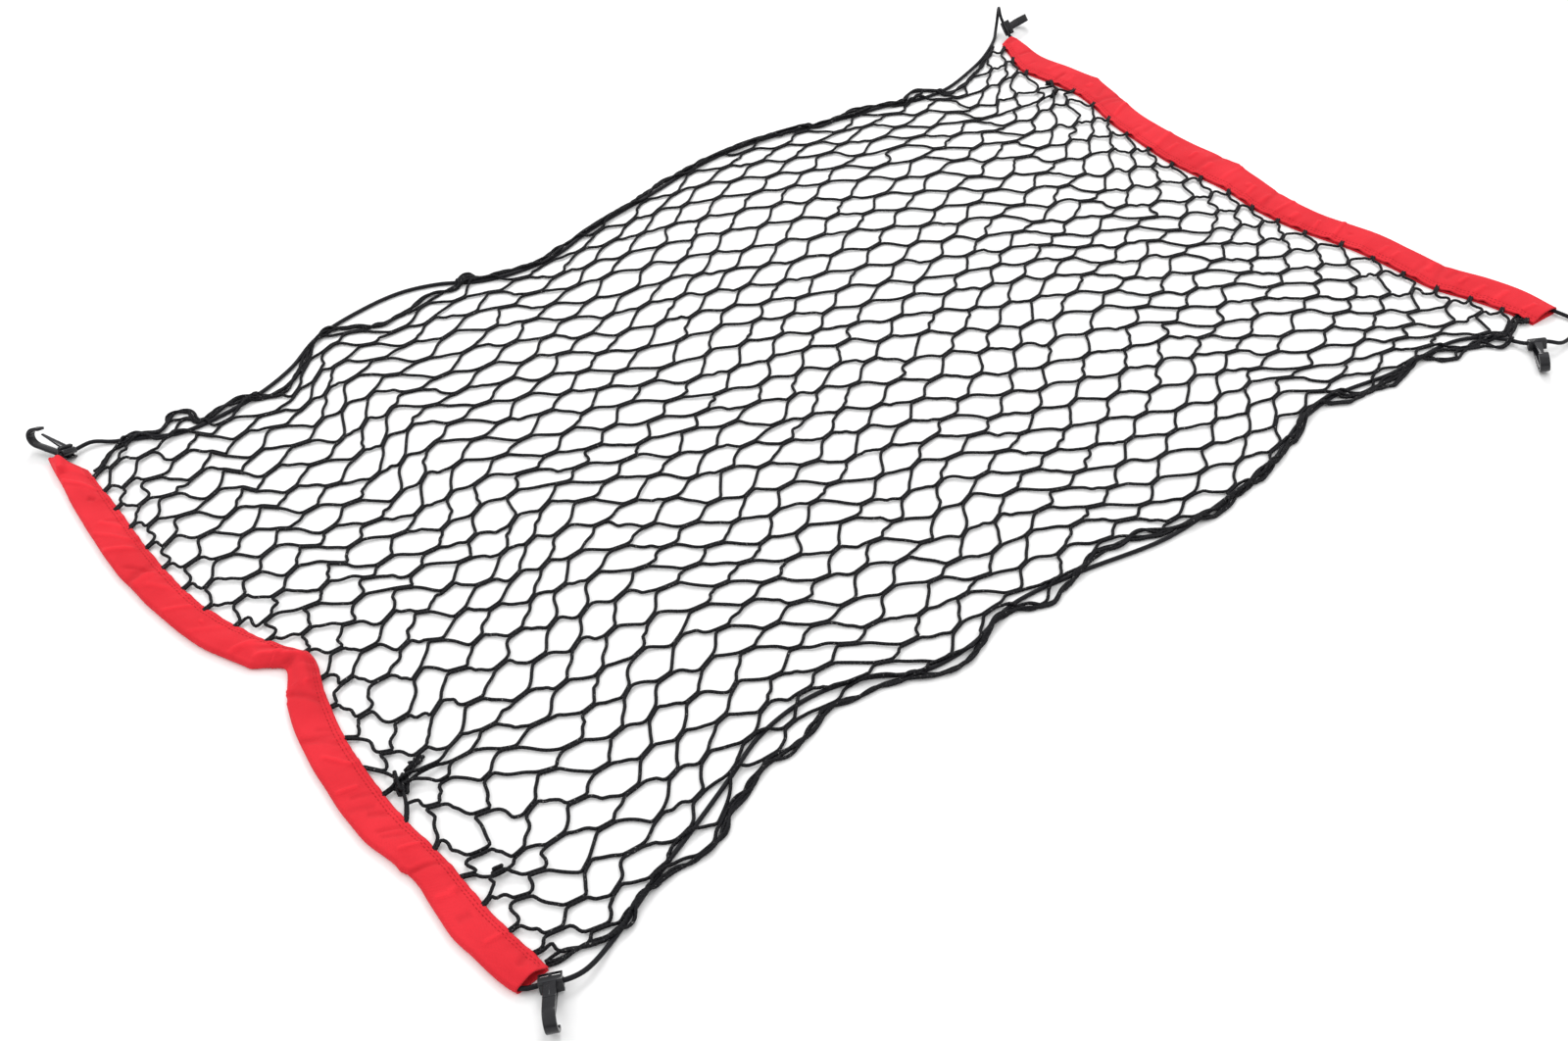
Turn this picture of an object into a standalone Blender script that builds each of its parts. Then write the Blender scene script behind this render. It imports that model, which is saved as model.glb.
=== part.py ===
"""Elastic cargo net, lying flat as it was laid out on a floor.

A knotless hexagonal net hangs between two folded fabric sleeves. One elastic cord loop runs inside
the fold of each sleeve and along both long edges of the net, and carries a plastic snap hook at
each corner. X runs along the net, Y across it, Z up. The origin is on the floor, under the middle
of the whole thing. Tables are in millimetres and MM turns them into metres.
"""

from math import ceil, cos, pi, radians, sin, sqrt

import bmesh
import bpy
from mathutils import Vector

MM = 0.001
GAP = 0.3  # between pieces that touch
PLAN_MIDDLE = Vector((6.7, -15.4, 0.0))  # the middle of the whole thing, in the tables' own plan

# Cord
CORD_RADIUS = 1.5
CORD_ON_FLOOR = CORD_RADIUS + 0.1  # height of its centreline where it lies on the floor
CORNER_STEP = 14.0  # longest step between the cord's points where it is free

# Sleeves: a strip folded round the cord, its layers lying on each other
CLOTH = 1.0
FOLD_RADIUS = CORD_RADIUS + 0.5 + CLOTH
SEAM_HEIGHT = 5.2  # top of the stitched inner edge, with the net's end caught in it
# where the top layer bends across its width: share of the width, rise over the seam, share of the crown
TOP_BENDS = ((0.25, 0.2, 0.4), (0.55, 0.8, 1.0))
TUCK = 8.0  # how far the net's end reaches in between the layers
TUCK_STRIP = 2.0  # where the net's openings stop, just out of sight
END_INSET = 5.0  # from a sleeve's end to the net's corner

# Net
STRAND_THICKNESS = 2.6  # of the doubled strands
STRAND_WIDTH = 3.2
SELVEDGE = 6.0  # width of the bunched strands along a long edge
NET_COLUMNS = 20  # spaces between columns of openings, 1.7 times the real pitch
NET_ROWS = 13  # openings in a column, 1.6 times the real pitch
DOUBLED_SHARE = 0.29  # a joined pair of strands, as a share of an opening's whole length
SMALLEST_GAP = 60.0  # in square millimetres, below which an opening stays closed
LIFT = CLOTH + GAP  # the net's ends lie on the sleeve's lower layer
LIFT_FROM = 12.0
LIFT_TO = 70.0

# Hooks: a profile in the plane of the hook, along it and up from its flat back
BASE_REAR = 3.6  # behind the middle of the cord's channel
BASE_FRONT = 4.0
BASE_EDGE = 1.2  # thickness of the back plate at its rear edge
BASE_HEIGHT = 8.4
BASE_CHAMFER = 0.6
BASE_WIDTH = 13.5
CROSSBAR_REAR = 1.3
CHANNEL_HEIGHT = 4.2
CHANNEL_RADIUS = CORD_RADIUS + GAP
CHANNEL_TURN = (195, -115)  # from the lip's end over the cord and down to the back plate
CHANNEL_STEPS = 12
LIP_RADIUS = 2.9
LIP_TURN = (62, 195)
LIP_STEPS = 6
BAR_BACK = 0.2
BAR_THICKNESS = 2.2
BAR_WIDTH = 7.2
HOOK_END = 34.6
HOOK_HEIGHT = 15.0
BEND_LENGTH = 9.0  # the bend is half of an ellipse, longer than the hook is high
BEND_TURN = (-90, 75)  # so that the nose splays out from the bar
BEND_STEPS = 8
NOSE_REACH = 3.4
BAR_ROOTED = 2.0  # how far the bar reaches into the base
TONGUE_ROOT = 3.0
TONGUE_TIP = 23.4
TONGUE_ROOT_HEIGHT = 7.2
TONGUE_TIP_HEIGHT = 10.8
TONGUE_ROOT_SIZE = (1.8, 6.2)  # thickness, width
TONGUE_TIP_SIZE = (0.9, 2.4)

# Each sleeve, a row for each section: its stitched edge, its folded edge, and how far it crowns up
# inner x, inner y, outer x, outer y, crown
LEFT_SLEEVE = (
    (-470, 269, -490, 280, 1.0),
    (-476, 216, -501, 221, 0.5),
    (-480, 153, -506, 153, 2.0),
    (-479, 95, -504, 97, 0.5),
    (-471, 54, -496, 47, 0.5),
    (-460, 22, -480, 12, 3.0),
    (-447, -4, -465, -3, 5.0),
    (-457, -40, -481, -36, 2.5),
    (-466, -77, -491, -72, 0.5),
    (-471, -117, -497, -119, 0.5),
    (-473, -155, -499, -157, 0.5),
    (-471, -201, -493, -202, 2.0),
    (-472, -249, -497, -250, 0.5),
    (-469, -299, -491, -301, 3.0),
)
RIGHT_SLEEVE = (
    (465, 276, 486, 282, 0.5),
    (449, 243, 478, 246, 0.5),
    (452, 205, 482, 209, 1.0),
    (453, 176, 482, 176, 0.5),
    (447, 149, 474, 141, 1.5),
    (436, 116, 464, 108, 0.5),
    (430, 82, 460, 80, 0.5),
    (423, 40, 458, 42, 1.0),
    (423, 10, 459, 12, 2.0),
    (423, -25, 455, -30, 0.5),
    (417, -62, 448, -67, 1.0),
    (418, -102, 447, -104, 0.5),
    (427, -150, 456, -150, 0.5),
    (429, -190, 458, -190, 1.0),
    (428, -226, 458, -222, 0.5),
    (438, -260, 468, -252, 1.0),
    (443, -286, 473, -282, 0.5),
    (444, -308, 472, -310, 2.0),
)

# The cord's route where the net's long edges run along it, from the left sleeve to the right: x, y
NEAR_SIDE = (
    (-390, -289),
    (-350, -274),
    (-312, -259),
    (-275, -244),
    (-232, -240),
    (-196, -250),
    (-166, -269),
    (-126, -273),
    (-80, -264),
    (-26, -271),
    (45, -287),
    (104, -287),
    (162, -282),
    (212, -267),
    (259, -264),
    (311, -275),
    (378, -281),
)
FAR_SIDE = (
    (-428, 276),
    (-402, 262),
    (-345, 265),
    (-305, 279),
    (-270, 301),
    (-227, 311),
    (-188, 312),
    (-158, 302),
    (-130, 283),
    (-98, 274),
    (-62, 274),
    (-20, 286),
    (55, 298),
    (105, 307),
    (158, 309),
    (212, 300),
    (263, 286),
    (310, 276),
    (340, 265),
    (370, 263),
    (410, 273),
    (442, 285),
)

# Hooks by the cord channel's middle, and how each lies: x, y, azimuth, roll, pitch
HOOKS = {
    "hook_1": (-477.5, 289.0, 116, 24, 4),
    "hook_2": (-473.9, -309.2, 235, 188, 18),
    "hook_3": (417.9, -326.6, 224, 12, -4),
    "hook_4": (485.3, 299.5, 8, -128, -1),
}

# The cord between a hook and what comes next on its way round: x, y, z
LOOP_AT_HOOK_2 = ((-456, -315, 5.0), (-430, -306, CORD_ON_FLOOR))
BEFORE_HOOK_3 = ((400, -293, CORD_ON_FLOOR), (410, -308, 2.6))
LOOP_AT_HOOK_3 = ((434, -338, 4.2), (457, -335, 2.0), (471, -326, 2.0))
LOOP_AT_HOOK_4 = (
    (485.5, 308.7, 21.5),
    (488.3, 312.6, 24.6),
    (492, 317, 24.0),
    (494, 319.5, 18.5),
    (492.5, 318.5, 11.0),
    (486, 313.5, 4.8),
    (474, 303.5, CORD_ON_FLOOR),
)
BEFORE_HOOK_1 = ((-446, 286, CORD_ON_FLOOR), (-458, 293.5, 3.5))

COLOURS = {
    "net": (0.012, 0.013, 0.018),
    "cord": (0.010, 0.011, 0.015),
    "sleeve": (0.90, 0.055, 0.075),
    "hook": (0.020, 0.021, 0.024),
}


def material(name, colour, roughness):
    made = bpy.data.materials.new(name)
    made.use_nodes = True
    shader = made.node_tree.nodes["Principled BSDF"]
    shader.inputs["Base Color"].default_value = (*colour, 1.0)
    shader.inputs["Roughness"].default_value = roughness
    shader.inputs["Metallic"].default_value = 0.0
    made.diffuse_color = (*colour, 1.0)
    return made


def in_metres(point):
    """A point of the tables' plan, moved to the origin and turned into metres."""
    return (Vector((point[0], point[1], point[2])) - PLAN_MIDDLE) * MM


def add_object(name, data, paint):
    placed = bpy.data.objects.new(name, data)
    bpy.context.collection.objects.link(placed)
    data.materials.append(paint)
    return placed


def mesh_of(name, bm):
    bmesh.ops.recalc_face_normals(bm, faces=bm.faces[:])
    mesh = bpy.data.meshes.new(name)
    bm.to_mesh(mesh)
    bm.free()
    return mesh


def resampled(points, shares):
    """Points at these shares of a polyline's length."""
    lengths = [(b - a).length for a, b in zip(points, points[1:])]
    total = sum(lengths)
    found = []
    for share in shares:
        left = share * total
        i = 0
        while i < len(lengths) - 1 and left > lengths[i]:
            left -= lengths[i]
            i += 1
        found.append(points[i].lerp(points[i + 1], left / lengths[i]))
    return found


def offset_line(points, distance):
    """A polyline moved sideways, to the left of its own direction, with mitred corners."""
    moved = []
    for i, point in enumerate(points):
        before = (point - points[max(i - 1, 0)]).normalized()
        after = (points[min(i + 1, len(points) - 1)] - point).normalized()
        if i == 0:
            before = after
        if i == len(points) - 1:
            after = before
        along = (before + after).normalized()
        side = Vector((-along.y, along.x))
        moved.append(point + side * distance / max(along.dot(after), 0.5))
    return moved


# ---------------------------------------------------------------- sleeves


def sleeve_section(width, crown):
    """The folded strip across its length: (distance from the stitched edge, height) all round."""
    fold = width - FOLD_RADIUS
    top = 2 * FOLD_RADIUS
    inner_radius = FOLD_RADIUS - CLOTH
    turns = [radians(a) for a in (-45, 0, 45)]
    upper = [(share * width, SEAM_HEIGHT + rise + lifted * crown) for share, rise, lifted in TOP_BENDS]
    upper = [(0, SEAM_HEIGHT), *upper, (fold, top)]
    outside = [(0, 0), (fold, 0)]
    outside += [(fold + FOLD_RADIUS * cos(a), FOLD_RADIUS + FOLD_RADIUS * sin(a)) for a in turns]
    outside += reversed(upper)
    inside = [(distance, height - CLOTH) for distance, height in upper]
    inside += [(fold + inner_radius * cos(a), FOLD_RADIUS + inner_radius * sin(a)) for a in reversed(turns)]
    inside += [(fold, CLOTH), (0, CLOTH)]
    return outside + inside


def across(row, distance):
    """The plan point this far from a section's stitched edge, towards its fold."""
    inner = Vector(row[0:2])
    outer = Vector(row[2:4])
    return inner + (outer - inner).normalized() * distance


def sleeve_width(row):
    return (Vector(row[2:4]) - Vector(row[0:2])).length


def build_sleeve(name, rows, paint):
    bm = bmesh.new()
    rings = []
    for row in rows:
        ring = []
        for distance, height in sleeve_section(sleeve_width(row), row[4]):
            plan = across(row, distance)
            ring.append(bm.verts.new(in_metres((plan.x, plan.y, height))))
        rings.append(ring)
    for ring, following in zip(rings, rings[1:]):
        for i in range(len(ring)):
            j = (i + 1) % len(ring)
            bm.faces.new((ring[i], ring[j], following[j], following[i]))
    bm.faces.new(rings[0])
    bm.faces.new(rings[-1])
    mesh = mesh_of(name, bm)
    mesh.shade_smooth()
    mesh.set_sharp_from_angle(angle=radians(40))
    return add_object(name, mesh, paint)


def cord_in_sleeve(rows):
    return [(*across(row, sleeve_width(row) - FOLD_RADIUS), FOLD_RADIUS) for row in rows]


# ---------------------------------------------------------------- net


def end_line(rows, distance):
    """A line inside a sleeve, this far from its stitched edge and short of its ends."""
    line = [across(row, distance) for row in rows]
    length = sum((b - a).length for a, b in zip(line, line[1:]))
    first, last = resampled(line, (END_INSET / length, 1 - END_INSET / length))
    return [first, *line[1:-1], last]


def net_edges():
    """The net's four edges in plan: near and far from left to right, left and right from near to far."""
    beside_cord = CORD_RADIUS + GAP
    left = end_line(LEFT_SLEEVE[::-1], TUCK)
    right = end_line(RIGHT_SLEEVE[::-1], TUCK)
    near = offset_line([Vector(p) for p in NEAR_SIDE], beside_cord)
    far = offset_line([Vector(p) for p in FAR_SIDE], -beside_cord)
    return near, far, left, right


def lift_at(u, length):
    """How high the net lies at this share of its length, because its ends lie on the sleeves' cloth."""
    from_end = min(u, 1 - u) * length
    share = min(max((LIFT_TO - from_end) / (LIFT_TO - LIFT_FROM), 0), 1)
    return LIFT * share * share * (3 - 2 * share)


class NetPlan:
    """Maps a place in the net, from 0 to 1 along it and across it, to the floor plan."""

    def __init__(self):
        near, far, _, _ = net_edges()
        self.left = end_line(LEFT_SLEEVE[::-1], TUCK_STRIP)
        self.right = end_line(RIGHT_SLEEVE[::-1], TUCK_STRIP)
        self.near = [self.left[0], *near, self.right[0]]
        self.far = [self.left[-1], *far, self.right[-1]]
        self.length = (self.right[0] - self.left[0]).length
        self.width = (self.left[-1] - self.left[0]).length

    def at(self, u, v):
        (near,), (far,) = resampled(self.near, (u,)), resampled(self.far, (u,))
        (left,), (right,) = resampled(self.left, (v,)), resampled(self.right, (v,))
        corners = (self.left[0] * (1 - v) + self.left[-1] * v) * (1 - u)
        corners += (self.right[0] * (1 - v) + self.right[-1] * v) * u
        plan = near * (1 - v) + far * v + left * (1 - u) + right * u - corners
        return (plan.x, plan.y, lift_at(u, self.length))


def clipped(polygon, axis, limit, keep_above):
    """The part of a convex polygon on one side of a line across one of its two axes."""
    kept = []
    for a, b in zip(polygon, polygon[1:] + polygon[:1]):
        inside_a = (a[axis] >= limit) == keep_above
        inside_b = (b[axis] >= limit) == keep_above
        if inside_a:
            kept.append(a)
        if inside_a != inside_b:
            share = (limit - a[axis]) / (b[axis] - a[axis])
            kept.append((a[0] + (b[0] - a[0]) * share, a[1] + (b[1] - a[1]) * share))
    return kept


def area_of(polygon):
    pairs = zip(polygon, polygon[1:] + polygon[:1])
    return abs(sum(a[0] * b[1] - b[0] * a[1] for a, b in pairs)) / 2


def opening(column, row, plan):
    """One hexagonal opening in shares of the net, its doubled strands running along the net."""
    step = plan.length / NET_COLUMNS
    pitch = plan.width / NET_ROWS
    whole = step / (1 - (1 - DOUBLED_SHARE) / 2)  # the opening's length, from corner to corner
    slope = (whole * (1 - DOUBLED_SHARE) / 2) / (pitch / 2)
    half_strand = STRAND_WIDTH / 2
    tall = pitch / 2 - half_strand
    slanted_share = half_strand * sqrt(1 + slope * slope)
    wide = whole / 2 - slanted_share
    flat = max(wide - tall * slope, 1.0)
    middle = (row + (0.0 if column % 2 else 0.5)) * pitch
    corners = ((-wide, 0), (-flat, -tall), (flat, -tall), (wide, 0), (flat, tall), (-flat, tall))
    hexagon = [(column * step + x, middle + y) for x, y in corners]
    for axis, limit, keep_above in (
        (0, 0.0, True),
        (0, plan.length, False),
        (1, SELVEDGE, True),
        (1, plan.width - SELVEDGE, False),
    ):
        hexagon = clipped(hexagon, axis, limit, keep_above)
        if len(hexagon) < 3:
            return None
    if area_of(hexagon) < SMALLEST_GAP:
        return None
    return [(x / plan.length, y / plan.width) for x, y in hexagon]


def build_net(paint):
    near, far, left, right = net_edges()
    plan = NetPlan()
    near_shares = [(p.x - left[0].x) / plan.length for p in near]
    far_shares = [(p.x - left[-1].x) / plan.length for p in far]
    outline = [(*p, lift_at(u, plan.length)) for p, u in zip(near, near_shares)]
    outline += [(*p, LIFT) for p in right]
    outline += [(*p, lift_at(u, plan.length)) for p, u in zip(far[::-1], far_shares[::-1])]
    outline += [(*p, LIFT) for p in left[::-1]]
    loops = [outline]
    for column in range(NET_COLUMNS + 1):
        for row in range(NET_ROWS + column % 2):
            found = opening(column, row, plan)
            if found:
                loops.append([plan.at(u, v) for u, v in found])
    bm = bmesh.new()
    lifts = {}
    for loop in loops:
        verts = [bm.verts.new(in_metres((x, y, 0.0))) for x, y, _ in loop]
        lifts.update(zip(verts, (z for _, _, z in loop)))
        for a, b in zip(verts, verts[1:] + verts[:1]):
            bm.edges.new((a, b))
    bmesh.ops.triangle_fill(bm, edges=bm.edges[:], use_beauty=True, normal=(0, 0, 1))
    for vert, lift in lifts.items():
        vert.co.z = lift * MM
    made = bmesh.ops.extrude_face_region(bm, geom=bm.faces[:])
    upper = [v for v in made["geom"] if isinstance(v, bmesh.types.BMVert)]
    bmesh.ops.translate(bm, verts=upper, vec=(0, 0, STRAND_THICKNESS * MM))
    return add_object("net", mesh_of("net", bm), paint)


# ---------------------------------------------------------------- hooks


def arc(centre, radii, turn, steps):
    """Points on an ellipse by its two radii, from one angle to the other."""
    angles = [radians(turn[0] + (turn[1] - turn[0]) * i / steps) for i in range(steps + 1)]
    return [(centre[0] + radii[0] * cos(a), centre[1] + radii[1] * sin(a)) for a in angles]


def prism(profile, width):
    """A profile in the hook's plane, given its width across that plane, about the cord channel."""
    bm = bmesh.new()
    half = width / 2 * MM
    face = bm.faces.new([bm.verts.new((x * MM, -half, (z - CHANNEL_HEIGHT) * MM)) for x, z in profile])
    made = bmesh.ops.extrude_face_region(bm, geom=[face])
    far = [v for v in made["geom"] if isinstance(v, bmesh.types.BMVert)]
    bmesh.ops.translate(bm, verts=far, vec=(0, 2 * half, 0))
    return mesh_of("prism", bm)


def base_profile():
    """The cord clip: a back plate, a crossbar, and a lip that curls over the cord from it."""
    soft = BASE_CHAMFER
    centre = (0, CHANNEL_HEIGHT)
    half_step = pi * (CHANNEL_TURN[0] - CHANNEL_TURN[1]) / 360 / CHANNEL_STEPS
    reach = CHANNEL_RADIUS / cos(half_step)
    outer = [(-BASE_REAR, BASE_EDGE), (-BASE_REAR, 0), (BASE_FRONT, 0)]
    outer += [(BASE_FRONT, BASE_HEIGHT - soft), (BASE_FRONT - soft, BASE_HEIGHT), (CROSSBAR_REAR, BASE_HEIGHT)]
    outer += arc(centre, (LIP_RADIUS, LIP_RADIUS), LIP_TURN, LIP_STEPS)
    return outer + arc(centre, (reach, reach), CHANNEL_TURN, CHANNEL_STEPS)


def hook_profile():
    """Back bar, round bend and splayed nose, as one band."""
    rise = (HOOK_HEIGHT - BAR_BACK) / 2
    centre = (HOOK_END - BEND_LENGTH, BAR_BACK + rise)
    outer = arc(centre, (BEND_LENGTH, rise), BEND_TURN, BEND_STEPS)
    inner = arc(centre, (BEND_LENGTH - BAR_THICKNESS, rise - BAR_THICKNESS), BEND_TURN, BEND_STEPS)
    nose = (Vector(outer[-1]) - Vector(outer[-2])).normalized() * NOSE_REACH
    tips = [tuple(Vector(side[-1]) + nose) for side in (outer, inner)]
    root = BASE_FRONT - BAR_ROOTED
    return [(root, BAR_BACK), *outer, *tips, *inner[::-1], (root, BAR_BACK + BAR_THICKNESS)]


def tongue_mesh():
    """The sprung tongue, tapering from the base to just inside the nose."""
    bm = bmesh.new()
    ends = (
        (TONGUE_ROOT, TONGUE_ROOT_HEIGHT, TONGUE_ROOT_SIZE),
        (TONGUE_TIP, TONGUE_TIP_HEIGHT, TONGUE_TIP_SIZE),
    )
    corners = []
    for along, height, (thickness, width) in ends:
        for side, up in ((-1, -1), (1, -1), (1, 1), (-1, 1)):
            z = height + up * thickness / 2 - CHANNEL_HEIGHT
            corners.append(bm.verts.new((along * MM, side * width / 2 * MM, z * MM)))
    bmesh.ops.convex_hull(bm, input=corners)
    return mesh_of("tongue", bm)


def hook_mesh():
    """The whole hook in its own frame: X towards the bend, Z from the back to the nose."""
    whole = bpy.data.objects.new("hook_base", prism(base_profile(), BASE_WIDTH))
    added = [
        bpy.data.objects.new("hook_band", prism(hook_profile(), BAR_WIDTH)),
        bpy.data.objects.new("hook_tongue", tongue_mesh()),
    ]
    for helper in (whole, *added):
        bpy.context.collection.objects.link(helper)
    for helper in added:
        join = whole.modifiers.new(helper.name, "BOOLEAN")
        join.operation = "UNION"
        join.object = helper
    bpy.context.view_layer.update()
    made = bpy.data.meshes.new_from_object(whole.evaluated_get(bpy.context.evaluated_depsgraph_get()))
    made.name = "hook"
    for helper in (whole, *added):
        bpy.data.objects.remove(helper)
    made.shade_smooth()
    made.set_sharp_from_angle(angle=radians(30))
    return made


def build_hooks(paint):
    """The four hooks, each turned as it lies and let down onto the floor."""
    shape = hook_mesh()
    shape.materials.append(paint)
    placed = {}
    for name, (x, y, azimuth, roll, pitch) in HOOKS.items():
        hook = bpy.data.objects.new(name, shape)
        bpy.context.collection.objects.link(hook)
        hook.rotation_euler = (radians(roll), radians(-pitch), radians(azimuth))
        turned = hook.rotation_euler.to_matrix()
        lowest = min((turned @ vert.co).z for vert in shape.vertices)
        hook.location = in_metres((x, y, 0.0))
        hook.location.z = -lowest
        placed[name] = hook
    return placed


# ---------------------------------------------------------------- cord


def through_hook(hook, first_side):
    """The cord's two points either side of a hook, on its channel's line, in millimetres of the plan."""
    reach = (BASE_WIDTH / 2 + 1.0) * MM
    turned = hook.rotation_euler.to_matrix()
    ends = [hook.location + turned @ Vector((0, side * reach, 0)) for side in (first_side, -first_side)]
    return [tuple(end / MM + PLAN_MIDDLE) for end in ends]


def on_floor(points):
    return [(x, y, CORD_ON_FLOOR) for x, y in points]


def between(before, start, end, after, share):
    """A point of the centripetal Catmull-Rom curve from start to end."""
    knots = [0.0]
    for a, b in ((before, start), (start, end), (end, after)):
        knots.append(knots[-1] + sqrt((b - a).length))
    t = knots[1] + (knots[2] - knots[1]) * share

    def mix(a, b, ta, tb):
        return a * ((tb - t) / (tb - ta)) + b * ((t - ta) / (tb - ta))

    first = mix(before, start, knots[0], knots[1])
    second = mix(start, end, knots[1], knots[2])
    third = mix(end, after, knots[2], knots[3])
    early = mix(first, second, knots[0], knots[2])
    late = mix(second, third, knots[1], knots[3])
    point = mix(early, late, knots[1], knots[2])
    point.z = max(point.z, CORD_ON_FLOOR)
    return point


def cord_route(hooks):
    """The cord's points all the way round, in millimetres, rounded where it is free between pieces."""
    straight = [
        cord_in_sleeve(LEFT_SLEEVE),
        through_hook(hooks["hook_2"], 1),
        on_floor(NEAR_SIDE),
        through_hook(hooks["hook_3"], -1),
        cord_in_sleeve(RIGHT_SLEEVE[::-1]),
        through_hook(hooks["hook_4"], 1),
        on_floor(FAR_SIDE[::-1]),
        through_hook(hooks["hook_1"], -1),
    ]
    free = [(), LOOP_AT_HOOK_2, BEFORE_HOOK_3, LOOP_AT_HOOK_3, (), LOOP_AT_HOOK_4, BEFORE_HOOK_1, ()]
    knots, rounded = [], []
    for stretch, loose in zip(straight, free):
        knots += [Vector(p) for p in (*stretch, *loose)]
        rounded += [False] * (len(stretch) - 1) + [True] * (len(loose) + 1)
    route = []
    count = len(knots)
    for i in range(count):
        before, start, end, after = (knots[(i + k) % count] for k in (-1, 0, 1, 2))
        steps = max(2, ceil((end - start).length / CORNER_STEP)) if rounded[i] else 1
        route += [between(before, start, end, after, step / steps) for step in range(steps)]
    return route


def build_cord(hooks, paint):
    route = cord_route(hooks)
    curve = bpy.data.curves.new("elastic_cord", "CURVE")
    curve.dimensions = "3D"
    curve.bevel_depth = CORD_RADIUS * MM
    curve.bevel_resolution = 2
    curve.use_fill_caps = True
    spline = curve.splines.new("POLY")
    spline.points.add(len(route) - 1)
    for point, place in zip(spline.points, route):
        point.co = (*in_metres(place), 1.0)
    spline.use_cyclic_u = True
    return add_object("elastic_cord", curve, paint)


def main():
    for old in list(bpy.data.objects):
        bpy.data.objects.remove(old, do_unlink=True)
    sleeve_paint = material("red_fabric", COLOURS["sleeve"], 0.85)
    build_sleeve("sleeve_left", LEFT_SLEEVE, sleeve_paint)
    build_sleeve("sleeve_right", RIGHT_SLEEVE, sleeve_paint)
    build_net(material("black_net_cord", COLOURS["net"], 0.8))
    hooks = build_hooks(material("black_plastic", COLOURS["hook"], 0.4))
    build_cord(hooks, material("black_elastic", COLOURS["cord"], 0.6))


main()
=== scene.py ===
"""Elastic cargo net as it was laid out on a white floor.

A black knotless net lies between two red fabric sleeves, one elastic cord runs round it all, and
four black snap hooks sit on the cord. Tables are in millimetres on the same plan as the CAD source:
X along the net, Y across it, Z up. They become metres where a mesh is made.
"""

from math import atan2, ceil, cos, pi, radians, sin

import bmesh
import bpy
import numpy as np
from mathutils import Euler, Matrix, Vector
from mathutils.kdtree import KDTree


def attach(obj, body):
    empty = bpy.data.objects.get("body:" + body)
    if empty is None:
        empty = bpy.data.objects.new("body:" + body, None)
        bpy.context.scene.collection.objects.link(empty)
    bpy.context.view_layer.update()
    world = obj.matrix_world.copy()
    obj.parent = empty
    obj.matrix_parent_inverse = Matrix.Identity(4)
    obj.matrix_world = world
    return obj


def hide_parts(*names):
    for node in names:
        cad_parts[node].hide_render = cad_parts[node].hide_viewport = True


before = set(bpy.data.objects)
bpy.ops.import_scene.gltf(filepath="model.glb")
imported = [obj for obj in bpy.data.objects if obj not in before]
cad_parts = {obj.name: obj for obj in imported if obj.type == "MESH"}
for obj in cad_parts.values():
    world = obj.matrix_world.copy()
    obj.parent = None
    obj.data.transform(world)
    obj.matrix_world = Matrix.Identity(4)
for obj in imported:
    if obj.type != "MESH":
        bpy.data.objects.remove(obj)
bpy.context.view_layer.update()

MM = 0.001
PLAN_MIDDLE = np.array((6.7, -15.4, 0.0))  # the plan's point at the frame's origin
UV_LENGTH = 4000.0  # millimetres that one whole turn of a UV map stands for
UV_SHIFT = 0.013  # between neighbouring tubes, so that their threads don't line up

# ---------------------------------------------------------------- the plan, as in the CAD source

CORD_RADIUS = 1.5
CORD_ON_FLOOR = 1.6
CORD_STEP = 2.5
CORD_BLUR = 2.6  # millimetres that the cord's line is averaged over, so that it bends gently
CORD_SIDES = 12
FOLD_RADIUS = 3.0

# inner x, inner y, outer x, outer y, crown
LEFT_SLEEVE = (
    (-470, 269, -490, 280, 1.0),
    (-476, 216, -501, 221, 0.5),
    (-480, 153, -506, 153, 2.0),
    (-479, 95, -504, 97, 0.5),
    (-471, 54, -496, 47, 0.5),
    (-460, 22, -480, 12, 3.0),
    (-447, -4, -465, -3, 5.0),
    (-457, -40, -481, -36, 2.5),
    (-466, -77, -491, -72, 0.5),
    (-471, -117, -497, -119, 0.5),
    (-473, -155, -499, -157, 0.5),
    (-471, -201, -493, -202, 2.0),
    (-472, -249, -497, -250, 0.5),
    (-469, -299, -491, -301, 3.0),
)
RIGHT_SLEEVE = (
    (465, 276, 486, 282, 0.5),
    (449, 243, 478, 246, 0.5),
    (452, 205, 482, 209, 1.0),
    (453, 176, 482, 176, 0.5),
    (447, 149, 474, 141, 1.5),
    (436, 116, 464, 108, 0.5),
    (430, 82, 460, 80, 0.5),
    (423, 40, 458, 42, 1.0),
    (423, 10, 459, 12, 2.0),
    (423, -25, 455, -30, 0.5),
    (417, -62, 448, -67, 1.0),
    (418, -102, 447, -104, 0.5),
    (427, -150, 456, -150, 0.5),
    (429, -190, 458, -190, 1.0),
    (428, -226, 458, -222, 0.5),
    (438, -260, 468, -252, 1.0),
    (443, -286, 473, -282, 0.5),
    (444, -308, 472, -310, 2.0),
)

# The cord's route along the net's long edges: x, y
NEAR_SIDE = (
    *((-390, -289), (-350, -274), (-312, -259), (-275, -244), (-232, -240), (-196, -250)),
    *((-166, -269), (-126, -273), (-80, -264), (-26, -271), (45, -287), (104, -287)),
    *((162, -282), (212, -267), (259, -264), (311, -275), (378, -281)),
)
FAR_SIDE = (
    *((-428, 276), (-402, 262), (-345, 265), (-305, 279), (-270, 301), (-227, 311)),
    *((-188, 312), (-158, 302), (-130, 283), (-98, 274), (-62, 274), (-20, 286)),
    *((55, 298), (105, 307), (158, 309), (212, 300), (263, 286), (310, 276)),
    *((340, 265), (370, 263), (410, 273), (442, 285)),
)

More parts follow.
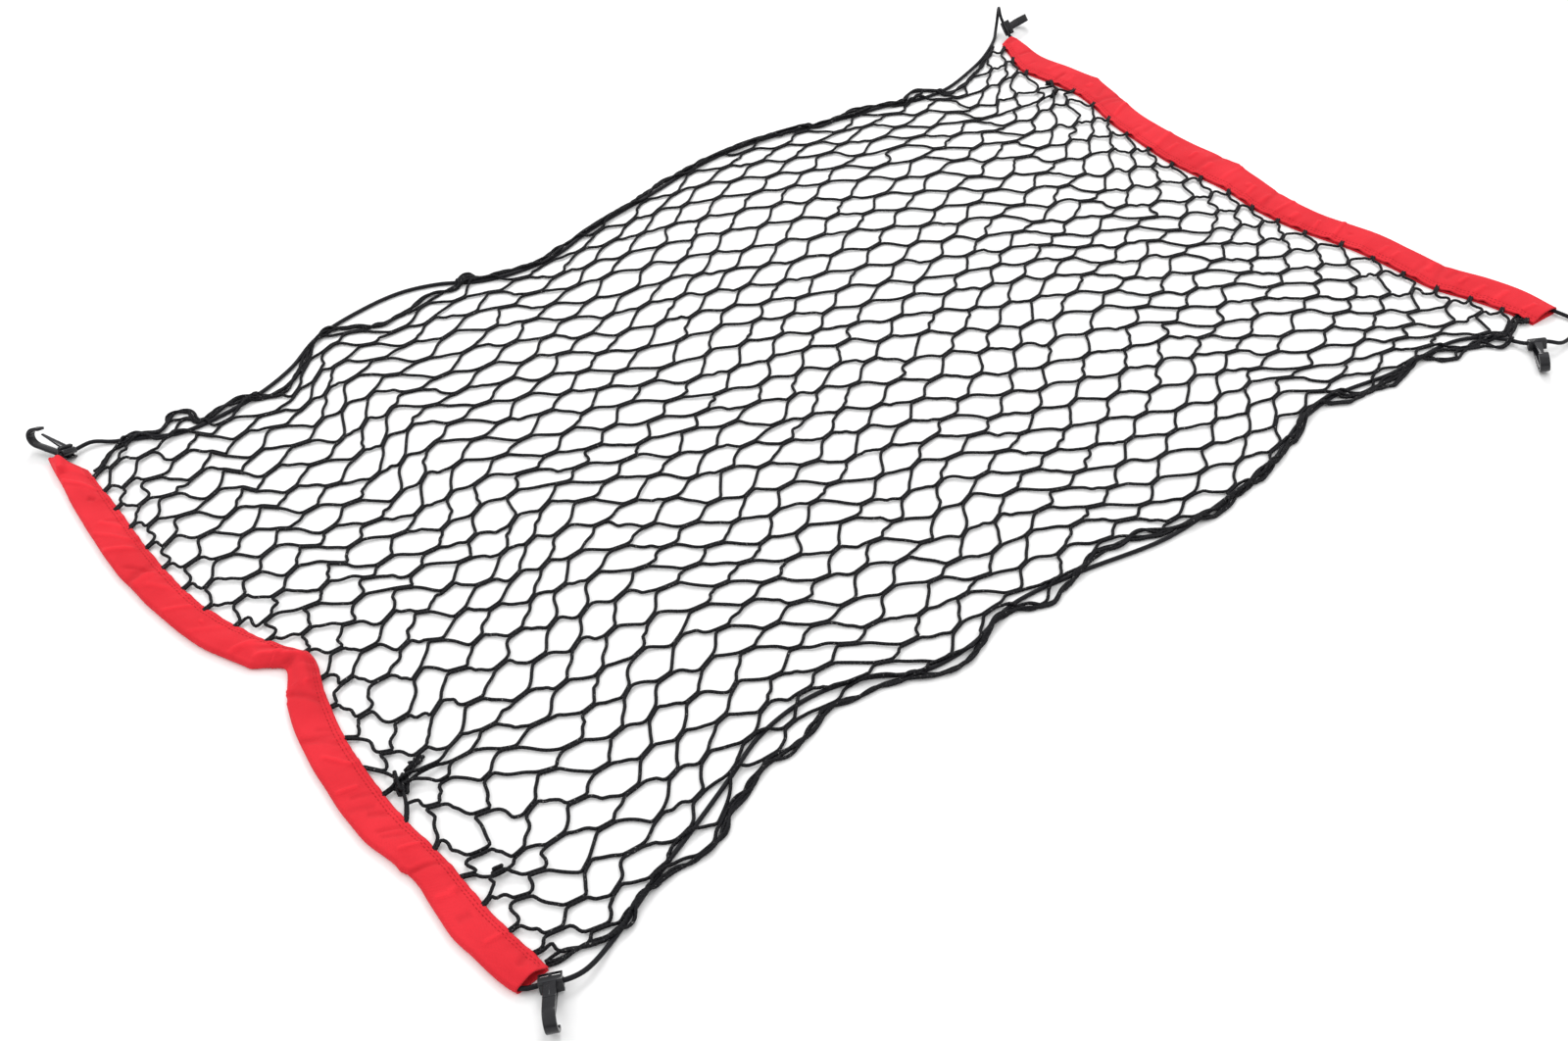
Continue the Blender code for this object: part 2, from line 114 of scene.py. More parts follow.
# How each hook lies, in degrees: azimuth, roll, pitch
HOOK_TURNS = {
    "hook_1": (116, 24, 4),
    "hook_2": (235, 188, 18),
    "hook_3": (224, 12, -4),
    "hook_4": (8, -128, -1),
}

# The cord between a hook and what comes next on its way round: x, y, z
LOOP_AT_HOOK_2 = ((-456, -315, 5.0), (-430, -306, CORD_ON_FLOOR))
BEFORE_HOOK_3 = ((400, -293, CORD_ON_FLOOR), (410, -308, 2.6))
LOOP_AT_HOOK_3 = ((434, -338, 4.2), (457, -335, 2.0), (471, -326, 2.0))
LOOP_AT_HOOK_4 = (
    *((485.5, 308.7, 21.5), (488.3, 312.6, 24.6), (492, 317, 24.0), (494, 319.5, 18.5)),
    *((492.5, 318.5, 11.0), (486, 313.5, 4.8), (474, 303.5, CORD_ON_FLOOR)),
)
BEFORE_HOOK_1 = ((-446, 286, CORD_ON_FLOOR), (-458, 293.5, 3.5))

# ---------------------------------------------------------------- how the net lies

# The bunched selvedge along each long edge, with the loops that stand out from it: x, y
NEAR_SELVEDGE = (
    *((-468, -294), (-457, -296), (-444, -300), (-433, -303), (-420, -304), (-411, -299)),
    *((-403, -294), (-393, -293), (-383, -291), (-368, -292), (-357, -292), (-346, -291)),
    *((-336, -287), (-327, -281), (-314, -274), (-299, -268), (-284, -263), (-274, -265)),
    *((-259, -265), (-246, -259), (-235, -256), (-220, -257), (-203, -260), (-187, -264)),
    *((-173, -268), (-158, -279), (-140, -282), (-123, -278), (-100, -268), (-85, -267)),
    *((-74, -270), (-61, -279), (-45, -277), (-32, -273), (-19, -270), (-2, -265)),
    *((19, -270), (38, -270), (50, -282), (81, -289), (113, -289), (137, -286)),
    *((163, -283), (194, -276), (219, -265), (240, -262), (257, -262), (263, -271)),
    *((275, -277), (298, -277), (323, -279), (340, -279), (358, -280), (367, -287)),
    *((378, -292), (393, -295), (405, -300), (424, -301), (437, -299), (450, -294)),
)
FAR_SELVEDGE = (
    *((-471, 262), (-465, 263), (-461, 269), (-455, 274), (-446, 278), (-439, 281)),
    *((-432, 286), (-428, 285), (-425, 280), (-421, 274), (-414, 273), (-407, 279)),
    *((-402, 287), (-394, 288), (-387, 283), (-390, 270), (-388, 264), (-380, 264)),
    *((-366, 271), (-356, 273), (-349, 272), (-341, 265), (-330, 258), (-319, 259)),
    *((-307, 267), (-295, 278), (-283, 291), (-269, 299), (-257, 303), (-247, 300)),
    *((-234, 290), (-220, 283), (-207, 285), (-191, 289), (-180, 292), (-170, 294)),
    *((-159, 289), (-151, 287), (-141, 297), (-133, 298), (-127, 288), (-117, 283)),
    *((-104, 281), (-88, 276), (-71, 277), (-52, 282), (-35, 284), (-19, 286)),
    *((-1, 291), (19, 293), (36, 297), (52, 302), (67, 306), (82, 308)),
    *((101, 311), (123, 311), (145, 310), (165, 308), (186, 305), (206, 302)),
    *((223, 301), (232, 292), (247, 288), (265, 289), (280, 292), (293, 286)),
    *((307, 276), (322, 270), (336, 280), (352, 277), (362, 268), (363, 255)),
    *((382, 256), (401, 262), (424, 272), (443, 281), (462, 292)),
)

COLUMNS = 36  # spaces between the columns of joined strands, from sleeve to sleeve
ROWS = 22
STRANDS = 2 * ROWS
DOUBLED = 0.45  # a joined pair's length, as a share of the step between columns
STRAND_ACROSS = 1.13  # half of a strand's width
STRAND_UP = 1.05  # half of its thickness
PAIR_OFFSET = 0.8  # of each strand from the middle of a joined pair
STRAND_STEP = 2.1
EDGE_BLUR = 9.0  # the mesh follows the selvedges without their small loops
STRAND_SIDES = 8
END_LIFT = 0.9  # the net's ends lie on the sleeves' lower layer
KINKED_SHARE = 0.22  # of the single strands, which have a small kink
COLUMN_STEP = 27.0  # millimetres that a joined pair's share is taken of
SHORTEST_HALF_PAIR = 3.5
ABOVE_FLOOR = 0.1  # kept between a strand and what it lies on
PILE_HEIGHT = 5.0  # the most that a tangle lifts a strand
NET_SHEETS = 4

# Where the net has bunched up: x, y, reach along the net, reach across it, pull
TANGLES = (
    (-458, -135, 62, 42, 0.95),
    (-452, -228, 34, 24, 0.75),
    (440, 188, 44, 26, 0.85),
    (353, -66, 18, 18, 0.60),
    (-75, -22, 16, 16, 0.60),
    (-416, 262, 14, 14, 0.50),
)

# Slack gathered in loose bits: x, y, reach one way, reach the other way, its turn, how many bits
SLACK = (
    (-460, -136, 10.0, 3.5, 65, 4),
    (-446, -126, 9.0, 1.6, 20, 2),
    (-454, -226, 6.0, 2.2, 20, 1),
    (437, 190, 9.0, 2.2, 30, 2),
    (446, 206, 7.0, 1.8, -30, 1),
)


def curve_through(points, step, closed=False):
    """Points an even step apart on the centripetal Catmull-Rom curve through these."""
    knots = np.array(points, float)
    if closed:
        around = np.vstack([knots[-1:], knots, knots[:2]])
    else:
        around = np.vstack([2 * knots[0] - knots[1], knots, 2 * knots[-1] - knots[-2]])
    found = []
    for p0, p1, p2, p3 in zip(around, around[1:], around[2:], around[3:]):
        t0 = 0.0
        t1 = t0 + np.sqrt(np.linalg.norm(p1 - p0))
        t2 = t1 + np.sqrt(np.linalg.norm(p2 - p1))
        t3 = t2 + np.sqrt(np.linalg.norm(p3 - p2))
        count = max(4, ceil(2 * np.linalg.norm(p2 - p1) / step))
        t = np.linspace(t1, t2, count, endpoint=False)[:, None]
        first = p0 * (t1 - t) / (t1 - t0) + p1 * (t - t0) / (t1 - t0)
        second = p1 * (t2 - t) / (t2 - t1) + p2 * (t - t1) / (t2 - t1)
        third = p2 * (t3 - t) / (t3 - t2) + p3 * (t - t2) / (t3 - t2)
        early = first * (t2 - t) / (t2 - t0) + second * (t - t0) / (t2 - t0)
        late = second * (t3 - t) / (t3 - t1) + third * (t - t1) / (t3 - t1)
        found.append(early * (t2 - t) / (t2 - t1) + late * (t - t1) / (t2 - t1))
    found.append(knots[:1] if closed else knots[-1:])
    return at_steps(np.vstack(found), step)


def run_of(line):
    """How far along a line each of its points is."""
    return np.concatenate([[0.0], np.cumsum(np.linalg.norm(np.diff(line, axis=0), axis=1))])


def at_shares(line, shares):
    run = run_of(line)
    wanted = np.asarray(shares) * run[-1]
    return np.stack([np.interp(wanted, run, line[:, i]) for i in range(line.shape[1])], axis=1)


def at_steps(line, step):
    count = max(round(run_of(line)[-1] / step), 1)
    return at_shares(line, np.linspace(0, 1, count + 1))


def softened(line, passes):
    """A line with its corners rounded off and its ends kept."""
    line = line.copy()
    for _ in range(passes):
        line[1:-1] = (line[:-2] + 2 * line[1:-1] + line[2:]) / 4
    return line


def blurred(line, spread):
    """A line averaged over this distance either side, its ends kept."""
    step = run_of(line)[-1] / (len(line) - 1)
    reach = int(3 * spread / step)
    weights = np.exp(-0.5 * (np.arange(-reach, reach + 1) * step / spread) ** 2)
    weights /= weights.sum()
    padded = np.vstack([2 * line[0] - line[reach:0:-1], line, 2 * line[-1] - line[-2 : -reach - 2 : -1]])
    return np.stack([np.convolve(padded[:, i], weights, "valid") for i in range(line.shape[1])], axis=1)


def sideways(line):
    """The level direction to the left of a line, at each of its points."""
    along = np.gradient(line[:, :2], axis=0)
    along /= np.maximum(np.linalg.norm(along, axis=1, keepdims=True), 1e-9)
    return np.stack([-along[:, 1], along[:, 0]], axis=1)


WAVE_COUNT = 14


class Waves:
    """A smooth seeded field over the plan, about -1 to 1."""

    def __init__(self, seed, shortest, longest):
        rng = np.random.default_rng(seed)
        length = rng.uniform(shortest, longest, WAVE_COUNT)
        turn = rng.uniform(0, 2 * pi, WAVE_COUNT)
        self.fx = 2 * pi * np.cos(turn) / length
        self.fy = 2 * pi * np.sin(turn) / length
        self.phase = rng.uniform(0, 2 * pi, WAVE_COUNT)

    def __call__(self, x, y):
        angle = np.multiply.outer(x, self.fx) + np.multiply.outer(y, self.fy) + self.phase
        return np.sin(angle).sum(axis=-1) * np.sqrt(2 / len(self.phase)) / 1.6


# ---------------------------------------------------------------- meshes


def new_object(name, mesh):
    placed = bpy.data.objects.new(name, mesh)
    bpy.context.scene.collection.objects.link(placed)
    return placed


def mesh_from(name, verts, corners, sizes, uvs):
    """A mesh from arrays: points in the plan's millimetres, each face's corners in a row, faces' sizes."""
    mesh = bpy.data.meshes.new(name)
    mesh.vertices.add(len(verts))
    mesh.vertices.foreach_set("co", ((verts - PLAN_MIDDLE) * MM).astype(np.float32).ravel())
    mesh.loops.add(len(corners))
    mesh.loops.foreach_set("vertex_index", corners.astype(np.int32))
    mesh.polygons.add(len(sizes))
    starts = np.concatenate([[0], np.cumsum(sizes)[:-1]])
    mesh.polygons.foreach_set("loop_start", starts.astype(np.int32))
    mesh.update(calc_edges=True)
    layer = mesh.uv_layers.new(name="run")
    layer.data.foreach_set("uv", uvs.astype(np.float32).ravel())
    mesh.shade_smooth()
    return mesh


def frames_along(line):
    """Two directions square to a line at each point, turned as little as can be from one to the next."""
    along = np.gradient(line, axis=0)
    along /= np.linalg.norm(along, axis=1, keepdims=True)
    side = np.cross((0.0, 0.0, 1.0), along[0])
    side /= np.linalg.norm(side)
    sides = []
    for tangent in along:
        side = side - tangent * side.dot(tangent)
        side /= np.linalg.norm(side)
        sides.append(side)
    sides = np.array(sides)
    return sides, np.cross(along, sides)


def level_frames(line):
    """As frames_along, for a line that lies nearly level: one direction is always level."""
    along = np.gradient(line, axis=0)
    along /= np.linalg.norm(along, axis=1, keepdims=True)
    flat = sideways(line)
    side = np.column_stack([flat, np.zeros(len(line))])
    return side, np.cross(along, side)


def tubes(name, lines, across, up, sides, frames=level_frames):
    """One mesh of closed tubes along the lines, with a UV map that runs along and round each."""
    angles = np.arange(sides) * 2 * pi / sides
    verts, corners, sizes, uvs = [], [], [], []
    base = 0
    for number, line in enumerate(lines):
        side, normal = frames(line)
        ring = np.cos(angles)[None, :, None] * side[:, None] * across
        ring = ring + np.sin(angles)[None, :, None] * normal[:, None] * up
        verts.append((line[:, None] + ring).reshape(-1, 3))
        count = len(line)
        i, j = np.meshgrid(np.arange(count - 1), np.arange(sides), indexing="ij")
        after = (j + 1) % sides
        here, onward = i * sides, (i + 1) * sides
        quads = np.stack([here + j, here + after, onward + after, onward + j], axis=-1)
        corners.append(quads.reshape(-1) + base)
        sizes.append(np.full((count - 1) * sides, 4))
        run = run_of(line) / UV_LENGTH + UV_SHIFT * (number % 11)
        u = np.stack([run[i], run[i], run[i + 1], run[i + 1]], axis=-1)
        v = np.stack([j, j + 1, j + 1, j], axis=-1) / sides
        uvs.append(np.stack([u, v], axis=-1).reshape(-1, 2))
        caps = np.concatenate([np.arange(sides)[::-1], (count - 1) * sides + np.arange(sides)])
        corners.append(caps + base)
        sizes.append(np.array([sides, sides]))
        uvs.append(np.repeat([[run[0], 0.5], [run[-1], 0.5]], sides, axis=0))
        base += count * sides
    return mesh_from(name, np.vstack(verts), np.concatenate(corners), np.concatenate(sizes), np.vstack(uvs))


def apply_modifier(piece, kind, **settings):
    modifier = piece.modifiers.new(kind.lower(), kind)
    for key, value in settings.items():
        setattr(modifier, key, value)
    with bpy.context.temp_override(object=piece, active_object=piece, selected_objects=[piece]):
        bpy.ops.object.modifier_apply(modifier=modifier.name)


# ---------------------------------------------------------------- materials


def socket_colour(red, green, blue):
    return (red, green, blue, 1.0)


class Nodes:
    """Adds nodes to a tree and joins them by name."""

    def __init__(self, tree):
        self.tree = tree

    def add(self, kind, inputs=None, **settings):
        node = self.tree.nodes.new(kind)
        for key, value in settings.items():
            setattr(node, key, value)
        for key, value in (inputs or {}).items():
            self.feed(node.inputs[key], value)
        return node

    def feed(self, socket, value):
        if isinstance(value, bpy.types.NodeSocket):
            self.tree.links.new(value, socket)
        else:
            socket.default_value = value

    def maths(self, operation, first, second=0.0, third=0.0):
        node = self.add("ShaderNodeMath", {0: first, 1: second, 2: third}, operation=operation)
        return node.outputs[0]

    def ranged(self, value, lowest, highest, low=0.0, high=1.0, **settings):
        """A value moved from one range to another, and kept within it."""
        ends = {"Value": value, "From Min": lowest, "From Max": highest, "To Min": low, "To Max": high}
        return self.add("ShaderNodeMapRange", ends, **settings).outputs[0]

    def noise(self, position, scale, detail):
        ends = {"Vector": position, "Scale": scale, "Detail": detail}
        return self.add("ShaderNodeTexNoise", ends).outputs[0]

    def blended(self, share, first, second):
        """Two colours mixed. The Mix node's colours are its sockets 6 and 7, and its output 2."""
        return self.add("ShaderNodeMix", {0: share, 6: first, 7: second}, data_type="RGBA").outputs[2]

    def scaled(self, colour, amount):
        return self.add("ShaderNodeVectorMath", {0: colour, "Scale": amount}, operation="SCALE").outputs[0]


def new_group(name, inputs, outputs):
    """An empty shader node group with float, colour and vector sockets by these names."""
    group = bpy.data.node_groups.new(name, "ShaderNodeTree")
    for title, kind, value in inputs:
        socket = group.interface.new_socket(title, in_out="INPUT", socket_type="NodeSocket" + kind)
        if value is not None:
            socket.default_value = value
    for title, kind in outputs:
        group.interface.new_socket(title, in_out="OUTPUT", socket_type="NodeSocket" + kind)
    nodes = Nodes(group)
    return group, nodes, nodes.add("NodeGroupInput"), nodes.add("NodeGroupOutput")


def uneven_tone_group():
    """Colour and roughness that drift a little over a piece, with fine flecks."""
    group, nodes, given, out = new_group(
        "uneven_tone",
        (
            ("Position", "Vector", None),
            ("Colour", "Color", (0.5, 0.5, 0.5, 1)),
            ("Drift Colour", "Color", (0.4, 0.4, 0.4, 1)),
            ("Patch Scale", "Float", 30.0),
            ("Fleck Scale", "Float", 900.0),
            ("Fleck Amount", "Float", 0.15),
            ("Roughness", "Float", 0.6),
        ),
        (("Colour", "Color"), ("Roughness", "Float"), ("Fleck", "Float")),
    )
    patch = nodes.noise(given.outputs["Position"], given.outputs["Patch Scale"], 3.0)
    fleck = nodes.noise(given.outputs["Position"], given.outputs["Fleck Scale"], 2.0)
    drift = nodes.ranged(patch, 0.35, 0.65)
    mixed = nodes.blended(drift, given.outputs["Colour"], given.outputs["Drift Colour"])
    centred = nodes.maths("SUBTRACT", fleck, 0.5)
    gain = nodes.maths("MULTIPLY_ADD", centred, given.outputs["Fleck Amount"], 1.0)
    rough = nodes.maths("MULTIPLY_ADD", centred, 0.3, given.outputs["Roughness"])
    nodes.feed(out.inputs["Colour"], nodes.scaled(mixed, gain))
    nodes.feed(out.inputs["Roughness"], rough)
    nodes.feed(out.inputs["Fleck"], fleck)
    return group


def thread_relief_group():
    """The relief of a knitted, braided or twisted thread, from how far along and round it a point is."""
    group, nodes, given, out = new_group(
        "thread_relief",
        (
            ("Run", "Vector", None),
            ("Pitch", "Float", 2.4),
            ("Starts", "Float", 1.0),
        ),
        (("Height", "Float"),),
    )
    split = nodes.add("ShaderNodeSeparateXYZ", {0: given.outputs["Run"]})
    along = nodes.maths("MULTIPLY", split.outputs[0], UV_LENGTH * 2 * pi)
    turns = nodes.maths("DIVIDE", along, given.outputs["Pitch"])
    round_it = nodes.maths("MULTIPLY", split.outputs[1], 2 * pi)
    wound = nodes.maths("MULTIPLY", round_it, given.outputs["Starts"])
    right = nodes.maths("SINE", nodes.maths("ADD", turns, wound))
    left = nodes.maths("SINE", nodes.maths("SUBTRACT", turns, wound))
    nodes.feed(out.inputs["Height"], nodes.maths("MAXIMUM", right, left))
    return group


def material(name, roughness, **constants):
    """A new material with its shader's constants set on the shader's own sockets."""
    made = bpy.data.materials.new(name)
    made.use_nodes = True
    shader = made.node_tree.nodes["Principled BSDF"]
    shader.inputs["Roughness"].default_value = roughness
    for key, value in constants.items():
        shader.inputs[key.replace("_", " ")].default_value = value
    return made, Nodes(made.node_tree), shader


def uneven_tone(nodes, place, colour, drift, patches, flecks, amount, roughness):
    """The uneven tone group, placed in a material with its own values."""
    values = {
        "Position": place,
        "Colour": colour,
        "Drift Colour": drift,
        "Patch Scale": patches,
        "Fleck Scale": flecks,
        "Fleck Amount": amount,
        "Roughness": roughness,
    }
    return nodes.add("ShaderNodeGroup", values, node_tree=UNEVEN_TONE)


def feed_shader(nodes, shader, colour, tone, height, strength, distance):
    """Joins a material's colour, roughness and relief, with its depth in millimetres, to its shader."""
    bump = nodes.add("ShaderNodeBump", {"Height": height, "Strength": strength, "Distance": distance * MM})
    nodes.feed(shader.inputs["Base Color"], colour)
    nodes.feed(shader.inputs["Roughness"], tone.outputs["Roughness"])
    nodes.feed(shader.inputs["Normal"], bump.outputs[0])


def thread_material(name, colour, drift, pitch, starts, relief, roughness, painted_glints=0.0):
    """Knitted, braided or twisted thread on its tube's UV map, with painted shade in its relief's troughs,
    painted highlight on its crowns, and painted glints as pale specks where it has any.
    """
    made, nodes, shader = material(name, roughness, Specular_IOR_Level=0.16)
    place = nodes.add("ShaderNodeTexCoord").outputs["Object"]
    run = nodes.add("ShaderNodeUVMap", uv_map="run").outputs[0]
    tone = uneven_tone(nodes, place, colour, drift, 60.0, 1400.0, 0.9, roughness)
    wound = {"Run": run, "Pitch": pitch, "Starts": starts}
    height = nodes.add("ShaderNodeGroup", wound, node_tree=THREAD_RELIEF).outputs["Height"]
    # Painted shade and highlight: the colour is darkened in the relief's troughs and lightened on its
    # crowns
    shown = nodes.scaled(tone.outputs["Colour"], nodes.ranged(height, -0.6, 1.0, 0.45, 1.15))
    # Painted glints: pale specks that stand in for light glinting off the knit and for the floor showing
    # through it
    if painted_glints:
        painted_glint_mask = nodes.ranged(nodes.noise(place, 750.0, 1.0), 0.70, 0.76, 0.0, painted_glints)
        shown = nodes.blended(painted_glint_mask, shown, socket_colour(0.5, 0.49, 0.48))
    feed_shader(nodes, shader, shown, tone, height, 0.9, relief)
    return made


def fabric_material(name, colour, drift):
    """Plain woven cloth: fine over-and-under threads on the sleeve's own UV map, with painted shade in the
    folds' troughs and painted highlight on their ridges.
    """
    made, nodes, shader = material(
        name, 0.7, Sheen_Weight=0.04, Sheen_Roughness=0.4, Specular_IOR_Level=0.15
    )
    place = nodes.add("ShaderNodeTexCoord").outputs["Object"]
    run = nodes.add("ShaderNodeUVMap", uv_map="run").outputs[0]
    split = nodes.add("ShaderNodeSeparateXYZ", {0: run})
    tone = uneven_tone(nodes, place, colour, drift, 25.0, 1600.0, 0.18, 0.72)
    thread = 0.55  # millimetres from one thread to the next
    along = nodes.maths("SINE", nodes.maths("MULTIPLY", split.outputs[0], UV_LENGTH * pi / thread))
    across = nodes.maths("SINE", nodes.maths("MULTIPLY", split.outputs[1], UV_LENGTH * pi / thread))
    weave = nodes.maths("MULTIPLY", along, across)
    height = nodes.maths("MULTIPLY_ADD", tone.outputs["Fleck"], 0.8, weave)
    # Painted shade and highlight: the colour is darkened in the folds' troughs and lightened on their
    # ridges, from the creases' heights
    folds = nodes.add("ShaderNodeAttribute", attribute_name="crease", attribute_type="GEOMETRY")
    woven = nodes.ranged(weave, -1.0, 1.0, 0.93, 1.04)
    painted_fold_shading = nodes.ranged(folds.outputs["Fac"], -1.0, 1.0, 0.86, 1.08)
    shown = nodes.scaled(tone.outputs["Colour"], nodes.maths("MULTIPLY", woven, painted_fold_shading))
    feed_shader(nodes, shader, shown, tone, height, 0.6, 0.12)
    return made


def plastic_material(name, colour, drift):
    """Moulded plastic with a fine matt grain and a painted highlight that makes its edges a little paler.
    """
    made, nodes, shader = material(name, 0.2, Specular_IOR_Level=0.34)
    place = nodes.add("ShaderNodeTexCoord").outputs["Object"]
    tone = uneven_tone(nodes, place, colour, drift, 120.0, 2500.0, 0.3, 0.2)
    # Painted highlight: edges, found by their pointiness, are blended towards a paler grey
    edge = nodes.add("ShaderNodeNewGeometry").outputs["Pointiness"]
    painted_edge_highlight = nodes.ranged(edge, 0.52, 0.62, 0.0, 0.3)
    shown = nodes.blended(painted_edge_highlight, tone.outputs["Colour"], socket_colour(0.07, 0.07, 0.08))
    feed_shader(nodes, shader, shown, tone, tone.outputs["Fleck"], 0.25, 0.1)
    return made


UNEVEN_TONE = uneven_tone_group()
THREAD_RELIEF = thread_relief_group()
NET_CORD = thread_material(
    "net_cord",
    socket_colour(0.006, 0.006, 0.008),
    socket_colour(0.011, 0.011, 0.013),
    pitch=2.4,
    starts=1.0,
    relief=0.28,
    roughness=0.6,
    painted_glints=0.45,
)
ELASTIC = thread_material(
    "elastic",
    socket_colour(0.007, 0.007, 0.010),
    socket_colour(0.011, 0.011, 0.014),
    pitch=1.3,
    starts=8.0,
    relief=0.07,
    roughness=0.42,
)
SLEEVE_FABRIC = fabric_material(
    "sleeve_fabric", socket_colour(0.78, 0.026, 0.040), socket_colour(0.70, 0.020, 0.032)
)
SLEEVE_THREAD = thread_material(
    "sleeve_thread",
    socket_colour(0.62, 0.018, 0.028),
    socket_colour(0.54, 0.015, 0.024),
    pitch=1.2,
    starts=2.0,
    relief=0.15,
    roughness=0.6,
)
HOOK_PLASTIC = plastic_material(
    "hook_plastic", socket_colour(0.006, 0.006, 0.008), socket_colour(0.010, 0.010, 0.012)
)

# ---------------------------------------------------------------- camera

camera_data = bpy.data.cameras.new("camera")
camera_data.sensor_width = 36.0
camera_data.lens = 42.905
camera_data.clip_start = 0.05
camera_data.clip_end = 50.0
camera = bpy.data.objects.new("camera", camera_data)
bpy.context.scene.collection.objects.link(camera)
looking = Vector((0.4795, 0.5829, -0.6560)).normalized()
upward = Vector((0.4341, 0.4922, 0.7545))
upward = (upward - looking * upward.dot(looking)).normalized()
turn = Matrix((looking.cross(upward), upward, -looking)).transposed()
camera.matrix_world = Matrix.Translation((-0.7560, -0.8319, 0.8394)) @ turn.to_4x4()
bpy.context.scene.camera = camera

# ---------------------------------------------------------------- cord

HOOK_REAR = 3.6
HOOK_BASE_WIDTH = 13.5
HOOK_CHANNEL_HEIGHT = 4.2


def hook_place(name):
    """A hook's own frame in the whole: its turn from the table, its place from its CAD solid."""
    azimuth, roll, pitch = HOOK_TURNS[name]
    turned = Euler((radians(roll), radians(-pitch), radians(azimuth))).to_matrix()
    back = turned.transposed()
    local = np.array([back @ vert.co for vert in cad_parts[name].data.vertices])
    corner = np.array((-HOOK_REAR, -HOOK_BASE_WIDTH / 2, -HOOK_CHANNEL_HEIGHT)) * MM
    return Matrix.Translation(turned @ Vector(local.min(axis=0) - corner)) @ turned.to_4x4()


HOOK_PLACES = {name: hook_place(name) for name in HOOK_TURNS}


def through_hook(name, first_side):
    """The cord's points through a hook's channel, in the plan's millimetres."""
    reach = HOOK_BASE_WIDTH / 2 + 1.0
    points = []
    for side in (first_side * reach, 0.0, -first_side * reach):
        place = HOOK_PLACES[name] @ Vector((0, side * MM, 0))
        points.append(tuple(np.array(place) / MM + PLAN_MIDDLE))
    return points


def in_sleeve(rows):
    """The cord's points in a sleeve's fold."""
    points = []
    for ix, iy, ox, oy, _ in rows:
        inner, outer = np.array((ix, iy), float), np.array((ox, oy), float)
        width = np.linalg.norm(outer - inner)
        plan = inner + (outer - inner) * (width - FOLD_RADIUS) / width
        points.append((*plan, FOLD_RADIUS))
    return points


def on_floor(points):
    return [(x, y, CORD_ON_FLOOR) for x, y in points]


def cord_line():
    """The cord's centreline, from the middle of the left sleeve all the way round to just short of it."""
    left = in_sleeve(LEFT_SLEEVE)
    middle = len(left) // 2
    points = [
        *left[middle:],
        *through_hook("hook_2", 1),
        *LOOP_AT_HOOK_2,
        *on_floor(NEAR_SIDE),
        *BEFORE_HOOK_3,
        *through_hook("hook_3", -1),
        *LOOP_AT_HOOK_3,
        *in_sleeve(RIGHT_SLEEVE[::-1]),
        *through_hook("hook_4", 1),
        *LOOP_AT_HOOK_4,
        *on_floor(FAR_SIDE[::-1]),
        *BEFORE_HOOK_1,
        *through_hook("hook_1", -1),
        *left[:middle],
    ]
    # The last three points are left out, so that the cord's two ends don't meet inside the sleeve
    open_loop = curve_through(points, CORD_STEP, closed=True)[:-3]
    line = blurred(open_loop, CORD_BLUR)
    line[:, 2] = np.maximum(line[:, 2], CORD_ON_FLOOR)
    return line


CORD_LINE = cord_line()
cord_mesh = tubes("elastic_loop", [CORD_LINE], CORD_RADIUS, CORD_RADIUS, CORD_SIDES, frames_along)
cord = new_object("elastic_loop", cord_mesh)
cord.data.materials.append(ELASTIC)
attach(cord, "root")
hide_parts("elastic_cord")

# ---------------------------------------------------------------- net

CORD_RAISED = 6.0  # height from which the cord is up at a hook, where no strand lies over it
OUT_OF_REACH = 1000.0
NEAR_CORD = 6.0
OVER_CORD = CORD_RADIUS + STRAND_UP + ABOVE_FLOOR
CORD_TREE = KDTree(len(CORD_LINE))
for index, point in enumerate(CORD_LINE):
    CORD_TREE.insert((point[0], point[1], OUT_OF_REACH if point[2] >= CORD_RAISED else 0.0), index)
CORD_TREE.balance()


def over_cord(line):
    """A line raised where it crosses or lies along the cord, so that it passes over it."""
    raised = line.copy()
    for i, (x, y, z) in enumerate(line):
        _, index, _ = CORD_TREE.find((x, y, 0.0))
        reach = CORD_LINE[index]
        after = CORD_LINE[min(index + 1, len(CORD_LINE) - 1)]
        before = CORD_LINE[max(index - 1, 0)]
        along = (after - before)[:2]
        along /= max(np.linalg.norm(along), 1e-9)
        gap = abs((x - reach[0]) * along[1] - (y - reach[1]) * along[0])
        if np.hypot(x - reach[0], y - reach[1]) < NEAR_CORD and gap < OVER_CORD:
            raised[i, 2] = max(z, reach[2] + np.sqrt(OVER_CORD**2 - gap**2))
    rounded = softened(raised, 2)
    raised[:, 2] = np.maximum(raised[:, 2], rounded[:, 2])
    return raised


def inner_edge(rows):
    """A sleeve's stitched edge."""
    return curve_through([(row[0], row[1]) for row in rows], 4.0)


NEAR_LINE = curve_through(NEAR_SELVEDGE, 2.0)
FAR_LINE = curve_through(FAR_SELVEDGE, 2.0)
LEFT_EDGE = inner_edge(LEFT_SLEEVE[::-1])
RIGHT_EDGE = inner_edge(RIGHT_SLEEVE[::-1])


